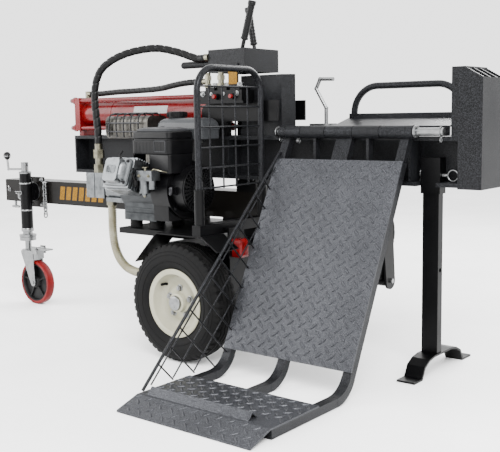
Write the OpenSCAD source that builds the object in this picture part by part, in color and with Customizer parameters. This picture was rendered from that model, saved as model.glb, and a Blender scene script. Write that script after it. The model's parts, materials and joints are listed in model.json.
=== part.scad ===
/* [Splitting beam] */
// Distance from the axle datum back to the working face of the end plate
end_x = 807; // [790:1:820]
// Distance from the axle datum forward to the beam's front end
beam_front = 948; // [930:1:960]
// Width of the beam's flanges
beam_w = 150; // [146:1:152]
// Height of the beam
beam_h = 155; // [152:1:158]
// Height of the beam's underside above the ground
beam_z = 597; // [594:1:600]
// Thickness of the flanges
flange_t = 13; // [11:1:15]
// Thickness of the web
web_t = 9; // [8:1:10]

/* [Drawbar] */
// Side of the square drawbar tube
tongue_w = 100; // [96:1:104]
// Wall of the drawbar tube
tongue_wall = 5; // [4:1:8]
// Distance from the axle datum forward to the open coupler end
tongue_front = 1485; // [1470:1:1500]
// Radius of the hitch pin hole
hitch_hole_r = 6.5; // [5:0.5:8]

/* [Wheels] */
// Outer radius of the road tyres
tyre_r = 203; // [200:1:204]
// Width of the tyres
tyre_w = 114; // [108:1:116]
// Radius of the rim flange
rim_r = 117; // [114:1:118]
// Distance of each tyre's middle from the centre line
track_half = 395; // [393:1:397]
// Radius of the stub axles
stub_r = 17.5; // [16:0.5:19]

/* [Ram] */
// Outer radius of the hydraulic barrel
barrel_r = 54; // [52:1:56]
// Bore radius of the barrel
bore_r = 45; // [44:1:46]
// Radius of the piston rod
rod_r = 25; // [22:1:28]
// Height of the cylinder's axis above the ground
ram_z = 841; // [840:1:843]
// Top of the wedge above the ground
wedge_top = 967; // [940:1:980]

/* [Log lift] */
// Lean of the lift plate from upright, in degrees
lift_lean = 26.5; // [26:0.5:27]
// Near edge of the lift, measured back from the axle datum
lift_x0 = 174; // [174:1:176]
// Far edge of the lift, measured back from the axle datum
lift_x1 = 657; // [650:1:660]
// Depth of the lift's square arms
arm_d = 25; // [24:1:26]
// Thickness of the tread plate
tread_t = 5; // [4:1:5]

/* [Stand and jack] */
// Width of the stand leg across the beam's side
leg_w = 55; // [54:1:56]
// Radius of the jack's outer tube
jack_r = 26; // [25:1:26]
// Radius of the caster wheel
caster_r = 98; // [96:1:98]

/* [Hidden] */
$fn = 48;

// Everything is drawn from a datum on the ground under the axle and then moved so that the
// origin is on the ground in the middle of the machine: +X back to the end plate, -Y to the lift.
end_plate_d = 77;
lip_y = -904;
shift_x = (tongue_front - end_x - end_plate_d) / 2;
shift_y = -(lip_y + track_half + tyre_w / 2) / 2;

axle_x = -36;
axle_z = tyre_r;
beam_top = beam_z + beam_h;
tongue_top = 548;
tongue_z = tongue_top - tongue_w;
post_near_y = -427;
post_far_y = -97;
guard_x = 75;
guard_r = 11;
guard_top = 981;
guard_bend = 80;
mesh_pitch = 66;
wire_r = 3;
cap_half = 69;
tie_off = 57;
tie_r = 9;
base_x0 = -948;
base_x1 = -917;
gland_x0 = -235;
gland_x1 = -190;
pivot_y = -97;
pivot_z = 767;
hinge_r = 21;
hinge_pin_r = 12.5;
fit = 0.06;
crank_y = -232;
crank_z = 568;
head_x = -325;
head_tilt = 20;
jack_x = -1258;
jack_y = -108;
jack_pivot_z = 500;
caster_trail = 55;
leg_x = 701;
leg_y = -24.5;
lift_cyl_x = 475;
anchor_y = 45;
anchor_z = 262;
lug_s = 153;
lug_t = 40;
lug_hole_r = 20.2;
strut_s = 164;
strut_t = 35;
lever_x = -42;
lever_z = 1005;

// Hose routes, from fitting to fitting
pressure_route = [[-176, -95, 1036], [-222, -95, 1036], [-296, -118, 1062], [-365, -150, 1078],
    [-430, -180, 1074], [-490, -205, 1060], [-545, -225, 1036], [-585, -240, 1002],
    [-606, -249, 950], [-612, -250, 890], [-607, -250, 826], [-600, -250, 772], [-600, -250, 726]];
cylinder_route = [[-915, 0, 926], [-866, 0, 926], [-792, -9, 928], [-718, -20, 930],
    [-640, -32, 930], [-570, -42, 931], [-500, -52, 932], [-430, -65, 935], [-370, -80, 941],
    [-305, -92, 947], [-240, -100, 950], [-186, -100, 950]];
lift_route = [[475, 66, 338], [475, 92, 356], [475, 110, 381], [475, 118, 411], [475, 115, 441],
    [475, 102, 469], [475, 91, 482], [475, 70, 502], [475, 59, 515], [475, 49, 533],
    [475, 44, 550], [475, 43, 565], [475, 43, 577]];
suction_route = [[-556, -232, 490], [-556, -232, 440], [-556, -232, 388], [-545, -234, 334],
    [-516, -240, 289], [-471, -248, 259], [-418, -258, 248], [-356, -274, 248], [-296, -290, 248],
    [-246, -300, 248], [-200, -300, 248]];

// ---------- shared shapes ----------

module machine() {
    translate([shift_x, shift_y, 0]) children();
}

// A box from its lowest to its highest corner
module box(a, b) {
    translate(a) cube(b - a);
}

// A cylinder lying along X, Y or Z from one end to the other
module rod_x(x0, x1, y, z, r) {
    translate([x0, y, z]) rotate([0, 90, 0]) cylinder(r = r, h = x1 - x0);
}

module rod_y(y0, y1, x, z, r) {
    translate([x, y0, z]) rotate([-90, 0, 0]) cylinder(r = r, h = y1 - y0);
}

module rod_z(z0, z1, x, y, r) {
    translate([x, y, z0]) cylinder(r = r, h = z1 - z0);
}

// A profile drawn in X and Z, extruded along Y
module slab_y(y0, y1) {
    translate([0, y1, 0]) rotate([90, 0, 0]) linear_extrude(y1 - y0) children();
}

// A profile drawn in Y and Z, extruded along X
module slab_x(x0, x1) {
    translate([x0, 0, 0]) rotate([90, 0, 90]) linear_extrude(x1 - x0) children();
}

// A round bar between two points
module bar(a, b, r) {
    d = b - a;
    n = norm(d);
    translate(a) rotate([0, acos(d[2] / n), atan2(d[1], d[0])]) cylinder(r = r, h = n);
}

function unit(v) = v / norm(v);

// Direction of travel at each point of a route
function heading(p, i) =
    i == 0 ? unit(p[1] - p[0]) :
    i == len(p) - 1 ? unit(p[i] - p[i - 1]) : unit(p[i + 1] - p[i - 1]);

function ring(p, t, r, sides, side_ref) =
    let (u = unit(cross(t, side_ref)), v = cross(t, u))
    [for (k = [0 : sides - 1]) p + r * (cos(360 * k / sides) * u + sin(360 * k / sides) * v)];

// A hose: one closed tube swept along its route
module hose(route, r, side_ref, sides = 10) {
    n = len(route);
    rings = [for (i = [0 : n - 1]) each ring(route[i], heading(route, i), r, sides, side_ref)];
    walls = [for (i = [0 : n - 2]) for (k = [0 : sides - 1]) each [
        [i * sides + k, (i + 1) * sides + k, (i + 1) * sides + (k + 1) % sides],
        [i * sides + k, (i + 1) * sides + (k + 1) % sides, i * sides + (k + 1) % sides]]];
    first = [[for (k = [0 : sides - 1]) k]];
    last = [[for (k = [0 : sides - 1]) (n - 1) * sides + sides - 1 - k]];
    polyhedron(points = rings, faces = concat(walls, first, last));
}

// ---------- frame ----------

module main_beam() {
    half = beam_w / 2;
    lug_spans = [[255, 351], [459, 556]];
    machine() color("dimgray") difference() {
        union() {
            box([-beam_front, -half, beam_z], [end_x, half, beam_z + flange_t]);
            box([-beam_front, -half, beam_top - flange_t], [end_x, half, beam_top]);
            box([-beam_front, -web_t / 2, beam_z], [end_x, web_t / 2, beam_top]);
            for (x = [-beam_front, -600, -100, 640])
                box([x, -half, beam_z], [x + 8, half, beam_top]);
            for (span = lug_spans) {
                middle = (span[0] + span[1]) / 2;
                rod_x(span[0], span[1], pivot_y, pivot_z, hinge_r);
                box([span[0], pivot_y, beam_top], [span[1], -52, beam_top + 12]);
                box([middle - 5, pivot_y - 3, beam_z + 3], [middle + 5, -half, pivot_z]);
            }
        }
        for (span = lug_spans)
            rod_x(span[0] - 1, span[1] + 1, pivot_y, pivot_z, hinge_pin_r + fit);
        box([leg_x - 34, -half - 1, beam_z - 1], [leg_x + 34, -web_t / 2, beam_z + flange_t + 1]);
    }
}

module tongue() {
    half = tongue_w / 2;
    plate_y = -half - 10;
    machine() color("#3b3733") difference() {
        union() {
            box([-tongue_front, -half, tongue_z], [150, half, tongue_top]);
            box([jack_x - 36, plate_y, 430], [jack_x + 62, -half, 566]);
            rod_y(plate_y - 9, plate_y, jack_x, jack_pivot_z, 12);
        }
        box([-tongue_front - 1, -half + tongue_wall, tongue_z + tongue_wall],
            [151, half - tongue_wall, tongue_top - tongue_wall]);
        rod_y(-half - 1, half + 1, -1469, 513, hitch_hole_r);
        rod_z(tongue_z - 1, tongue_z + tongue_wall + 1, -1455, -20, 6 + fit);
    }
}

module guard_socket(y) {
    difference() {
        rod_z(473, 588, guard_x, y, guard_r + 6);
        rod_z(472.9, 589, guard_x, y, guard_r + 0.3);
    }
}

// One side of the cradle that carries the valve and steadies the split log
module cradle_side(y0, y1, foot) {
    slab_y(y0, y1) polygon([[-212, 805], [140, 805], [140, 877], [-180, 877], [-212, 850]]);
    box([-160, min(y0, foot), beam_top], [-92, max(y1, foot), 812]);
}

module chassis_brackets() {
    half = tongue_w / 2;
    machine() color("#2b2b2d") {
        for (x = [-640, -80])
            box([x, -half, tongue_top], [x + 90, half, beam_z]);
        box([-60, -half, 385], [60, half, tongue_z]);
        for (x = [-360, -150])
            box([x, -half, 425], [x + 60, half, tongue_z]);
        difference() {
            union() {
                for (s = [-1, 1]) {
                    box([57, min(s * half, s * 445), 438], [93, max(s * half, s * 445), 473]);
                    box([109, min(s * 330, s * 250), 352], [116, max(s * 330, s * 250), 456]);
                    box([90, min(s * 330, s * 250), 448], [110, max(s * 330, s * 250), 456]);
                }
                guard_socket(post_near_y);
                guard_socket(post_far_y);
            }
        }
        cradle_side(-84, -76, -58);
        cradle_side(76, 84, 58);
        box([-180, -140, 869], [30, -84, 877]);
        difference() {
            for (x = [lift_cyl_x - 38, lift_cyl_x + 30]) slab_x(x, x + 8) {
                polygon([[-30, beam_z], [60, beam_z], [60, 420], [anchor_y + 29, anchor_z],
                    [anchor_y - 29, anchor_z]]);
                translate([anchor_y, anchor_z]) circle(r = 29);
            }
            rod_x(lift_cyl_x - 60, lift_cyl_x + 60, anchor_y, anchor_z, 8 + fit);
        }
    }
}

module axle_tank() {
    tank_w = 318;
    x0 = axle_x - 144;
    x1 = axle_x + 144;
    machine() color("#262628") {
        difference() {
            union() {
                box([x0, -tank_w, 150], [x1, tank_w, 385]);
                rod_z(385, 400, x0 + 60, 220, 26);
                rod_x(x0 - 20, x0 + 1, -300, 248, 19);
            }
            box([x0 + 5, -tank_w + 5, 155], [x1 - 5, tank_w - 5, 380]);
            rod_z(379, 401, x0 + 60, 220, 18);
        }
        for (s = [-1, 1]) {
            rod_y(min(s * tank_w, s * (track_half + 36)), max(s * tank_w, s * (track_half + 36)),
                axle_x, axle_z, stub_r);
            rod_y(min(s * tank_w, s * (tank_w + 12)), max(s * tank_w, s * (tank_w + 12)),
                axle_x, axle_z, 40);
        }
    }
}

module fenders() {
    machine() color("#1c1c1e") for (span = [[-448, -340], [340, 448]])
        slab_y(span[0], span[1]) polygon([[-212, 331], [-208, 330], [-106, 434], [99, 434],
            [163, 391], [166, 394], [100, 438], [-108, 438]]);
}

module tail_lights() {
    machine() color("darkred") for (s = [-1, 1]) mirror([0, s < 0 ? 0 : 1, 0]) {
        hull() {
            for (y = [-311, -276]) for (z = [362, 412])
                rod_x(116, 150, y, z, 6, $fn = 24);
            box([117, -309, 364], [154, -278, 410]);
        }
    }
}

module guard_frame() {
    y0 = post_near_y;
    y1 = post_far_y;
    knee = guard_top - guard_bend;
    machine() color("#6d6d70") {
        rod_z(473, knee, guard_x, y0, guard_r);
        rod_z(473, knee, guard_x, y1, guard_r);
        rod_y(y0 + guard_bend, y1 - guard_bend, guard_x, guard_top, guard_r);
        translate([guard_x, y0 + guard_bend, knee]) rotate([90, 0, 90]) rotate([0, 0, 90])
            rotate_extrude(angle = 90) translate([guard_bend, 0]) circle(r = guard_r);
        translate([guard_x, y1 - guard_bend, knee]) rotate([90, 0, 90])
            rotate_extrude(angle = 90) translate([guard_bend, 0]) circle(r = guard_r);
    }
}

module guard_mesh() {
    gap = guard_r + 0.4;
    machine() color("#6d6d70") {
        for (k = [0 : 5])
            rod_y(post_near_y + gap + (k == 0 ? 3 : 0), post_far_y - gap - (k == 0 ? 3 : 0),
                guard_x, 921 - k * mesh_pitch, wire_r);
        for (k = [0 : 3])
            rod_z(585, 927, guard_x - 2 * wire_r - 0.3, post_near_y + (k + 1) * mesh_pitch, wire_r);
    }
}

// ---------- splitting cylinder ----------

module cylinder_barrel() {
    machine() color("#a51015") difference() {
        rod_x(base_x1, gland_x0, 0, ram_z, barrel_r);
        rod_x(base_x1 - 1, gland_x0 + 1, 0, ram_z, bore_r);
    }
}

module cylinder_cap(x0, x1) {
    box([x0, -cap_half, ram_z - cap_half], [x1, cap_half, ram_z + cap_half]);
    box([x0 + 3, -50, beam_top], [x1 - 3, 50, ram_z - cap_half]);
}

module tie_holes(x0, x1) {
    for (y = [-tie_off, tie_off]) for (z = [-tie_off, tie_off])
        rod_x(x0 - 1, x1 + 1, y, ram_z + z, tie_r + 0.3);
}

module cylinder_base() {
    machine() color("#a51015") difference() {
        cylinder_cap(base_x0, base_x1);
        tie_holes(base_x0, base_x1);
    }
}

module cylinder_gland() {
    machine() color("#a51015") difference() {
        cylinder_cap(gland_x0, gland_x1);
        tie_holes(gland_x0, gland_x1);
        rod_x(gland_x0 - 1, gland_x1 + 1, 0, ram_z, rod_r + fit);
    }
}

module tie_rods() {
    machine() color("#a51015") for (y = [-tie_off, tie_off]) for (z = [-tie_off, tie_off]) {
        rod_x(base_x0 - 26, gland_x1 + 22, y, ram_z + z, tie_r);
        rod_x(base_x0 - 15, base_x0, y, ram_z + z, 15, $fn = 6);
        rod_x(gland_x1, gland_x1 + 14, y, ram_z + z, 15, $fn = 6);
    }
}

module ram_rod() {
    machine() color("silver") {
        rod_x(base_x1 + 12, base_x1 + 52, 0, ram_z, bore_r - fit);
        rod_x(base_x1 + 52, -60, 0, ram_z, rod_r);
    }
}

module wedge() {
    shoe_z = beam_top + 0.3;
    machine() color("#202022") {
        box([-60, -45, shoe_z], [150, 45, shoe_z + 24]);
        translate([0, 0, shoe_z + 24]) linear_extrude(wedge_top - shoe_z - 24)
            polygon([[-60, -38], [122, -38], [154, -1], [154, 1], [122, 38], [-60, 38]]);
    }
}

module end_plate() {
    front_t = 22;
    half = 77;
    low = 593;
    side = [[end_x + front_t - 1, low], [end_x + end_plate_d, low], [end_x + end_plate_d, 927],
        [end_x + front_t - 1, 958]];
    machine() color("#28282a") {
        box([end_x, -half, low], [end_x + front_t, half, 960]);
        box([end_x - 22, -half, beam_top], [end_x + 1, half, 960]);
        for (y = [-half, -28, 20, half - 8])
            slab_y(y, y + 8) polygon(side);
        box([end_x + end_plate_d - 8, -half, low], [end_x + end_plate_d, half, 927]);
        box([end_x + front_t, -half, low], [end_x + end_plate_d, half, low + 8]);
    }
}

// ---------- stand ----------

module leg_sleeve() {
    machine() color("#1d1d1f") difference() {
        box([leg_x - 33, leg_y - 20, 573], [leg_x + 33, leg_y + 20, 686]);
        box([leg_x - 29, leg_y - 16, 572], [leg_x + 29, leg_y + 16, 687]);
        rod_x(leg_x - 40, leg_x + 40, leg_y, 630, 7 + fit);
    }
}

module stand_leg() {
    half = leg_w / 2;
    machine() color("#1d1d1f") {
        difference() {
            box([leg_x - half, leg_y - 15, 62], [leg_x + half, leg_y + 15, 683]);
            box([leg_x - half + 3, leg_y - 12, 66], [leg_x + half - 3, leg_y + 12, 684]);
            box([leg_x - half - 1, leg_y - 7.3, 630], [leg_x + half + 1, leg_y + 7.3, 684]);
            rod_x(leg_x - half - 1, leg_x + half + 1, leg_y, 630, 7.3);
            rod_x(leg_x - half - 1, leg_x + half + 1, leg_y, 330, 7.3);
        }
        slab_x(leg_x - 31, leg_x + 31) difference() {
            union() {
                polygon([[-150, 0], [-128, 40], [-96, 56], [-60, 62], [60, 62], [96, 56], [128, 40],
                    [150, 0]]);
                translate([-195, 0]) square([50, 6]);
                translate([145, 0]) square([60, 6]);
            }
            polygon([[-142, -1], [-121, 36], [-93, 50], [-58, 56], [58, 56], [93, 50], [121, 36],
                [142, -1]]);
        }
    }
}

module stand_pin() {
    machine() color("silver") {
        rod_x(leg_x - 44, leg_x + 50, leg_y, 630, 7);
        translate([leg_x + 50 + 17, leg_y, 630]) rotate([90, 0, 0]) rotate_extrude()
            translate([17, 0]) circle(r = 2.5);
        translate([leg_x - 39, leg_y, 638]) rotate([0, 90, 0]) rotate_extrude()
            translate([11, 0]) circle(r = 1.8);
    }
}

// ---------- log table ----------

module log_table() {
    rail_y = 205;
    rail_z = 922;
    bend = 95;
    x0 = 258;
    x1 = 706;
    machine() color("#7f8083") {
        slab_x(x0, x1) polygon([[75, 700], [83, 700], [83, 778], [rail_y - 12, 808],
            [rail_y - 12, 800 + 26], [rail_y - 17, 800 + 26], [rail_y - 17, 812],
            [78, 783], [75, 783]]);
        for (x = [x0, x1 - 24])
            box([x, 82, 700], [x + 24, rail_y - 12, 716]);
        for (x = [x0 + 12, x1 - 12])
            rod_z(706, rail_z - bend, x, rail_y, 12);
        for (x = [x0 + 1, x1 - 23])
            box([x, rail_y - 18, 702], [x + 22, rail_y, 714]);
        rod_x(x0 + 12 + bend, x1 - 12 - bend, rail_y, rail_z, 12);
        translate([x0 + 12 + bend, rail_y, rail_z - bend]) rotate([90, 0, 0]) rotate([0, 0, 90])
            rotate_extrude(angle = 90) translate([bend, 0]) circle(r = 12);
        translate([x1 - 12 - bend, rail_y, rail_z - bend]) rotate([90, 0, 0])
            rotate_extrude(angle = 90) translate([bend, 0]) circle(r = 12);
    }
}

module hook_rod() {
    y = 150;
    machine() color("silver") {
        box([150, 92, beam_top - 20], [218, 168, 792]);
        box([150, 75, beam_top - 20], [218, 92, beam_top]);
        rod_z(786, 848, 184, y, 7);
        translate([184, y, 848]) sphere(r = 8);
        bar([184, y, 848], [141, y, 918], 7);
        translate([141, y, 918]) sphere(r = 8);
        bar([141, y, 918], [158, y, 952], 7);
        translate([158, y, 952]) sphere(r = 8);
        bar([158, y, 952], [215.9, y, 950], 7);
    }
}

// ---------- valve ----------

module valve_block() {
    machine() color("#55565a") {
        box([-172, -136, 877], [22, -66, 915]);
        for (x = [-150, -92, -34])
            box([x, -132, 877], [x + 42, -70, 927]);
        for (x = [-112, -36])
            rod_y(-148, -130, x + 20, 893, 11);
    }
}

module valve_cover() {
    x0 = -161;
    x1 = 7;
    machine() color("#3d3e41") {
        difference() {
            box([x0, -100, 980], [x1, 100, 1062]);
            box([x0 + 3, -97, 979], [x1 - 3, 97, 1059]);
            box([lever_x - 42, -92, 1058], [lever_x + 46, -50, 1063]);
            box([lever_x - 46, 14, 1058], [lever_x + 42, 56, 1063]);
        }
        rod_y(-98, 98, lever_x, lever_z, 5);
        box([-64, -105, 927], [-20, -100, 1010]);
        rod_x(-300, x0 + 1, -78, 1014, 13);
        translate([-300, -78, 1014]) sphere(r = 13);
    }
}

// A lever pivoting on the cross shaft in the cover, leaning fore or aft
module lever(y, lean, reach) {
    difference() {
        translate([lever_x, y, lever_z]) rotate([0, lean, 0]) {
            rotate([-90, 0, 0]) translate([0, 0, -11]) cylinder(r = 12, h = 22);
            cylinder(r = 7, h = reach - 100);
            translate([0, 0, reach - 130]) cylinder(r = 13, h = 8);
            translate([0, 0, reach - 122]) cylinder(r = 11.5, h = 116);
            translate([0, 0, reach - 6]) cylinder(r = 14, h = 12);
        }
        rod_y(y - 12, y + 12, lever_x, lever_z, 5 + fit);
    }
}

module split_lever() {
    machine() color("#1a1a1a") lever(-71, 17, 222);
}

module lift_lever() {
    machine() color("#1a1a1a") lever(35, -10, 208);
}

// ---------- engine ----------

module crankcase() {
    machine() color("#9a9a96") difference() {
        union() {
            box([-410, crank_y - 70, 470], [-240, crank_y + 90, 650]);
            rod_x(-418, -240, crank_y, crank_z, 88);
            for (y = [crank_y - 78, crank_y + 38])
                box([-402, y, 452], [-240, y + 50, 478]);
            rod_x(-418, -408, crank_y, crank_z, 60);
        }
        rod_x(-420, -239, crank_y, crank_z, 18);
        box([-470, crank_y - 130, 440], [-230, crank_y + 130, 452]);
    }
}

module engine_head() {
    fins = 7;
    machine() color("#a7adb3") translate([head_x, crank_y, crank_z]) rotate([-head_tilt, 0, 0]) {
        difference() {
            union() {
                for (k = [0 : fins - 1])
                    box([-66, -100 - k * 12, -58], [66, -93 - k * 12, 60]);
                box([-52, -178, -46], [52, -93, 48]);
                box([-64, -186, -54], [64, -176, 54]);
                box([-66, -186, 20], [70, -150, 50]);
            }
            rotate([head_tilt, 0, 0]) box([-90, -70, -60], [90, 60, 90]);
        }
        hull() for (x = [-22, 22]) for (z = [-26, 30])
            translate([x, -186, z]) rotate([90, 0, 0]) cylinder(r1 = 18, r2 = 13, h = 38, $fn = 32);
    }
}

module fan_housing() {
    machine() color("#18181a") {
        difference() {
            union() {
                rod_x(-240, -158, crank_y, crank_z, 104);
                box([-240, crank_y - 88, 458], [-168, crank_y + 88, crank_z]);
                rod_x(-159, -104, crank_y, crank_z, 84);
                rod_x(-105, -98, crank_y, crank_z, 34);
            }
            rod_x(-241, -170, crank_y, crank_z, 92);
            rod_x(-171, -110, crank_y, crank_z, 78);
            for (a = [0 : 30 : 330])
                translate([0, crank_y, crank_z]) rotate([a, 0, 0])
                    box([-110, -5, 46], [-100, 5, 74]);
        }
        box([-150, crank_y - 96, crank_z - 14], [-126, crank_y - 78, crank_z + 14]);
    }
}

module air_cleaner() {
    machine() color("#141416") {
        hull() for (x = [-308, -144]) for (y = [-333, -227])
            rod_z(694, 780, x, y, 12, $fn = 24);
        hull() for (x = [-298, -154]) for (y = [-322, -238])
            rod_z(780, 790, x, y, 10, $fn = 24);
        difference() {
            box([-238, -345, 612], [-132, -222, 695]);
            rod_x(-241, -131, crank_y, crank_z, 104.4);
        }
    }
}

module fuel_tank() {
    machine() color("#8c8f92") {
        difference() {
            union() {
                hull() {
                    for (x = [-322, -128]) for (y = [-190, -104])
                        rod_z(742, 806, x, y, 16, $fn = 32);
                    for (x = [-312, -138]) for (y = [-182, -110])
                        rod_z(802, 820, x, y, 12, $fn = 32);
                }
                rod_z(819, 832, -276, -150, 27);
            }
            box([-320, -190, 746], [-130, -104, 804]);
            rod_z(800, 833, -276, -150, 22);
        }
        for (x = [-310, -265])
            box([x, -180, 650], [x + 20, -150, 742]);
    }
}

module fuel_cap() {
    machine() color("#111113") {
        difference() {
            rod_z(822, 842, -276, -150, 36);
            rod_z(821, 836, -276, -150, 27.4);
        }
        for (a = [0 : 45 : 315])
            translate([-276, -150, 0]) rotate([0, 0, a]) box([33, -4, 826], [38, 4, 838]);
    }
}

module muffler() {
    machine() color("#8b8b88") {
        hull() for (y = [-196, -138]) for (z = [768, 806])
            rod_x(-590, -362, y, z, 24, $fn = 32);
        rod_x(-600, -590, -167, 787, 16);
        rod_z(700, 750, -385, -182, 15);
        box([-405, -205, 690], [-365, -160, 702]);
        box([-405, -190, 650], [-378, -160, 692]);
    }
}

module carburettor() {
    machine() color("#a9aaa6") {
        box([-255, -388, 605], [-180, -345, 640]);
        rod_z(560, 606, -235, -368, 19);
        rod_z(552, 562, -235, -368, 9);
        rod_z(575, 606, -196, -368, 13);
    }
}

module engine_tray() {
    machine() color("#161618") difference() {
        box([-404, -338, 405], [-62, 60, 425]);
        box([-398, -332, 404], [-68, 54, 419]);
    }
}

module rubber_mounts() {
    machine() color("#0e0e0e") for (x = [-367, -268]) for (y = [crank_y - 53, crank_y + 63])
        rod_z(425, 452, x, y, 23);
}

module crankshaft() {
    machine() color("#8d8f92") {
        rod_x(-590, -130, crank_y, crank_z, 12);
        rod_x(-500, -440, crank_y, crank_z, 32);
        rod_x(-232, -182, crank_y, crank_z, 86);
        rod_x(-400, -380, crank_y, crank_z, 17.95);
        rod_x(-270, -250, crank_y, crank_z, 17.95);
    }
}

module pump() {
    machine() color("#b3b3ae") difference() {
        union() {
            box([-645, crank_y - 48, 520], [-600, crank_y + 48, 616]);
            box([-596, crank_y - 48, 520], [-545, crank_y + 48, 616]);
            box([-601, crank_y - 44, 524], [-595, crank_y + 44, 612]);
            rod_x(-546, -520, crank_y, crank_z, 47.5);
            rod_x(-521, -418, crank_y, crank_z, 66);
            for (s = [-1, 1])
                box([-521, crank_y - 60, crank_z + s * 50 - 8], [-418, crank_y + 60, crank_z + s * 50 + 8]);
        }
        rod_x(-509, -419, crank_y, crank_z, 44);
        rod_x(-595, -508, crank_y, crank_z, 12 + fit);
        rod_x(-420, -417, crank_y, crank_z, 44);
    }
}

// A threaded adapter with two hexagons, standing along Z
module adapter(x, y, z0, z1, r) {
    h = z1 - z0;
    rod_z(z0, z1, x, y, r * 0.72);
    rod_z(z0, z0 + h * 0.28, x, y, r, $fn = 6);
    rod_z(z0 + h * 0.5, z0 + h * 0.8, x, y, r, $fn = 6);
}

module hydraulic_fittings() {
    machine() color("#b9b79f") {
        adapter(-600, -250, 616, 726, 21);
        rod_z(490, 520, -556, -232, 20);
        difference() {
            union() {
                rod_z(910, 938, -936, 0, 13);
                rod_x(-936, -915, 0, 926, 12);
            }
        }
        adapter(-160, -104, 927, 980, 13);
        adapter(-98, -104, 927, 980, 15);
        rod_x(-186, -160, -100, 950, 11);
        rod_x(-176, -161, -95, 1036, 14);
        rod_z(577, beam_z, 475, 43, 12);
        rod_z(400, 424, axle_x - 84, 220, 24);
    }
}

module pressure_hose() {
    machine() color("#151517") hose(pressure_route, 14, [0.3, 1, 0.1]);
}

module cylinder_hose() {
    machine() color("#151517") hose(cylinder_route, 11.5, [0, 1, 0.2]);
}

module lift_hose() {
    machine() color("#151517") hose(lift_route, 10.5, [1, 0, 0]);
}

module suction_hose() {
    machine() color("#c9c39a") hose(suction_route, 17, [0.2, 1, 0.1]);
}

// One round link, standing or lying
module link(p, turn) {
    translate(p) rotate(turn) rotate_extrude() translate([10, 0]) circle(r = 2.6, $fn = 24);
}

module safety_chains() {
    machine() color("silver") {
        for (k = [0 : 9])
            link([-1178, -66, 534 - k * 15], k % 2 == 0 ? [90, 0, 0] : [0, 90, 0]);
        for (k = [0 : 3])
            link([-1358 + k * 13, -66, 470 - k * 7], k % 2 == 0 ? [90, 28, 0] : [0, 0, 0]);
        rod_y(-72, -50, -1178, 541, 3.5);
        rod_y(-72, -50, -1358, 477, 3.5);
    }
}

// ---------- road wheels ----------

// Outline of half the tyre's section, from the bead over the tread and back inside
module tyre_section() {
    half = tyre_w / 2;
    difference() {
        union() {
            translate([rim_r - 16, -50]) square([tyre_r - rim_r + 8, 100]);
            translate([tyre_r - 10, -38]) square([10, 76]);
            translate([155, -half + 24]) circle(r = 24, $fn = 40);
            translate([155, half - 24]) circle(r = 24, $fn = 40);
        }
        translate([rim_r - 17, -36]) square([70, 72]);
        translate([164, -30]) square([26, 60]);
        translate([tyre_r - 16, -60]) polygon([[20, 0], [20, 24], [6, 8], [2, 0]]);
        translate([tyre_r - 16, 60]) mirror([0, 1]) polygon([[20, 0], [20, 24], [6, 8], [2, 0]]);
        translate([rim_r - 17, -60]) square([18, 16]);
        translate([rim_r - 17, 44]) square([18, 16]);
    }
}

module tyre(side) {
    machine() color("#19191b") translate([axle_x, side * track_half, axle_z])
        rotate([90, 0, 0]) rotate_extrude($fn = 96) tyre_section();
}

// The rim: two flanges, a drop centre, a dished disc, a hub on the stub axle and its cap
module rim() {
    seat = rim_r - 16;
    color("#dad6c4") translate([axle_x, -track_half, axle_z]) rotate([90, 0, 0])
        difference() {
            rotate_extrude($fn = 96) {
                for (y = [-49.3, 44.3]) translate([seat - 3, y]) square([rim_r - seat + 3, 5]);
                translate([seat - 3, -47]) square([3, 94]);
                translate([30, 4]) square([seat - 32, 4]);
                translate([0, -36]) square([30, 74]);
                translate([0, 37]) square([23, 13]);
            }
            translate([0, 0, -60]) cylinder(r = stub_r + fit, h = 97.5);
            for (a = [0 : 90 : 270]) rotate([0, 0, a + 45]) translate([62, 0, -20]) cylinder(r = 9, h = 60);
        }
}

module tyre_near() {
    tyre(-1);
}

module rim_near() {
    machine() rim();
}

module tyre_far() {
    tyre(1);
}

module rim_far() {
    machine() mirror([0, 1, 0]) rim();
}

// ---------- log lift ----------

// Lift drawing: down the slope along -Z, away from the beam along -Y, hinge axis at the origin
module on_lift() {
    translate([0, pivot_y, pivot_z]) rotate([-lift_lean, 0, 0]) children();
}

arm_back = tread_t + arm_d;
arm_mid = tread_t + arm_d / 2;
floor_mid = 2 + arm_d / 2;
lift_bend = 90;
corner_s = (pivot_z + arm_mid * -sin(lift_lean) - floor_mid) / cos(lift_lean);
corner_y = pivot_y + arm_mid * cos(lift_lean) - corner_s * sin(lift_lean);
bend_angle = 90 - lift_lean;
bend_tangent = lift_bend * tan(bend_angle / 2);
arm_xs = [lift_x0, 391, lift_x1 - 30];
platform_y0 = -822;
platform_y1 = -600;
platform_z = 2 + arm_d;

// One bent arm: down behind the plate, round the bend and out under the platform
module lift_arm(x, w) {
    on_lift() box([x, arm_mid - arm_d / 2, -corner_s + bend_tangent - 1], [x + w, arm_back, -14]);
    translate([x, corner_y - bend_tangent, floor_mid + lift_bend]) rotate([90, 0, 90])
        rotate([0, 0, -90]) rotate_extrude(angle = bend_angle)
            translate([lift_bend - arm_d / 2 - 0.4, -0.4]) square([arm_d + 0.8, w + 0.8]);
    box([x, platform_y0 + 6, 2], [x + w, corner_y - bend_tangent + 1, 2 + arm_d]);
}

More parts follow.
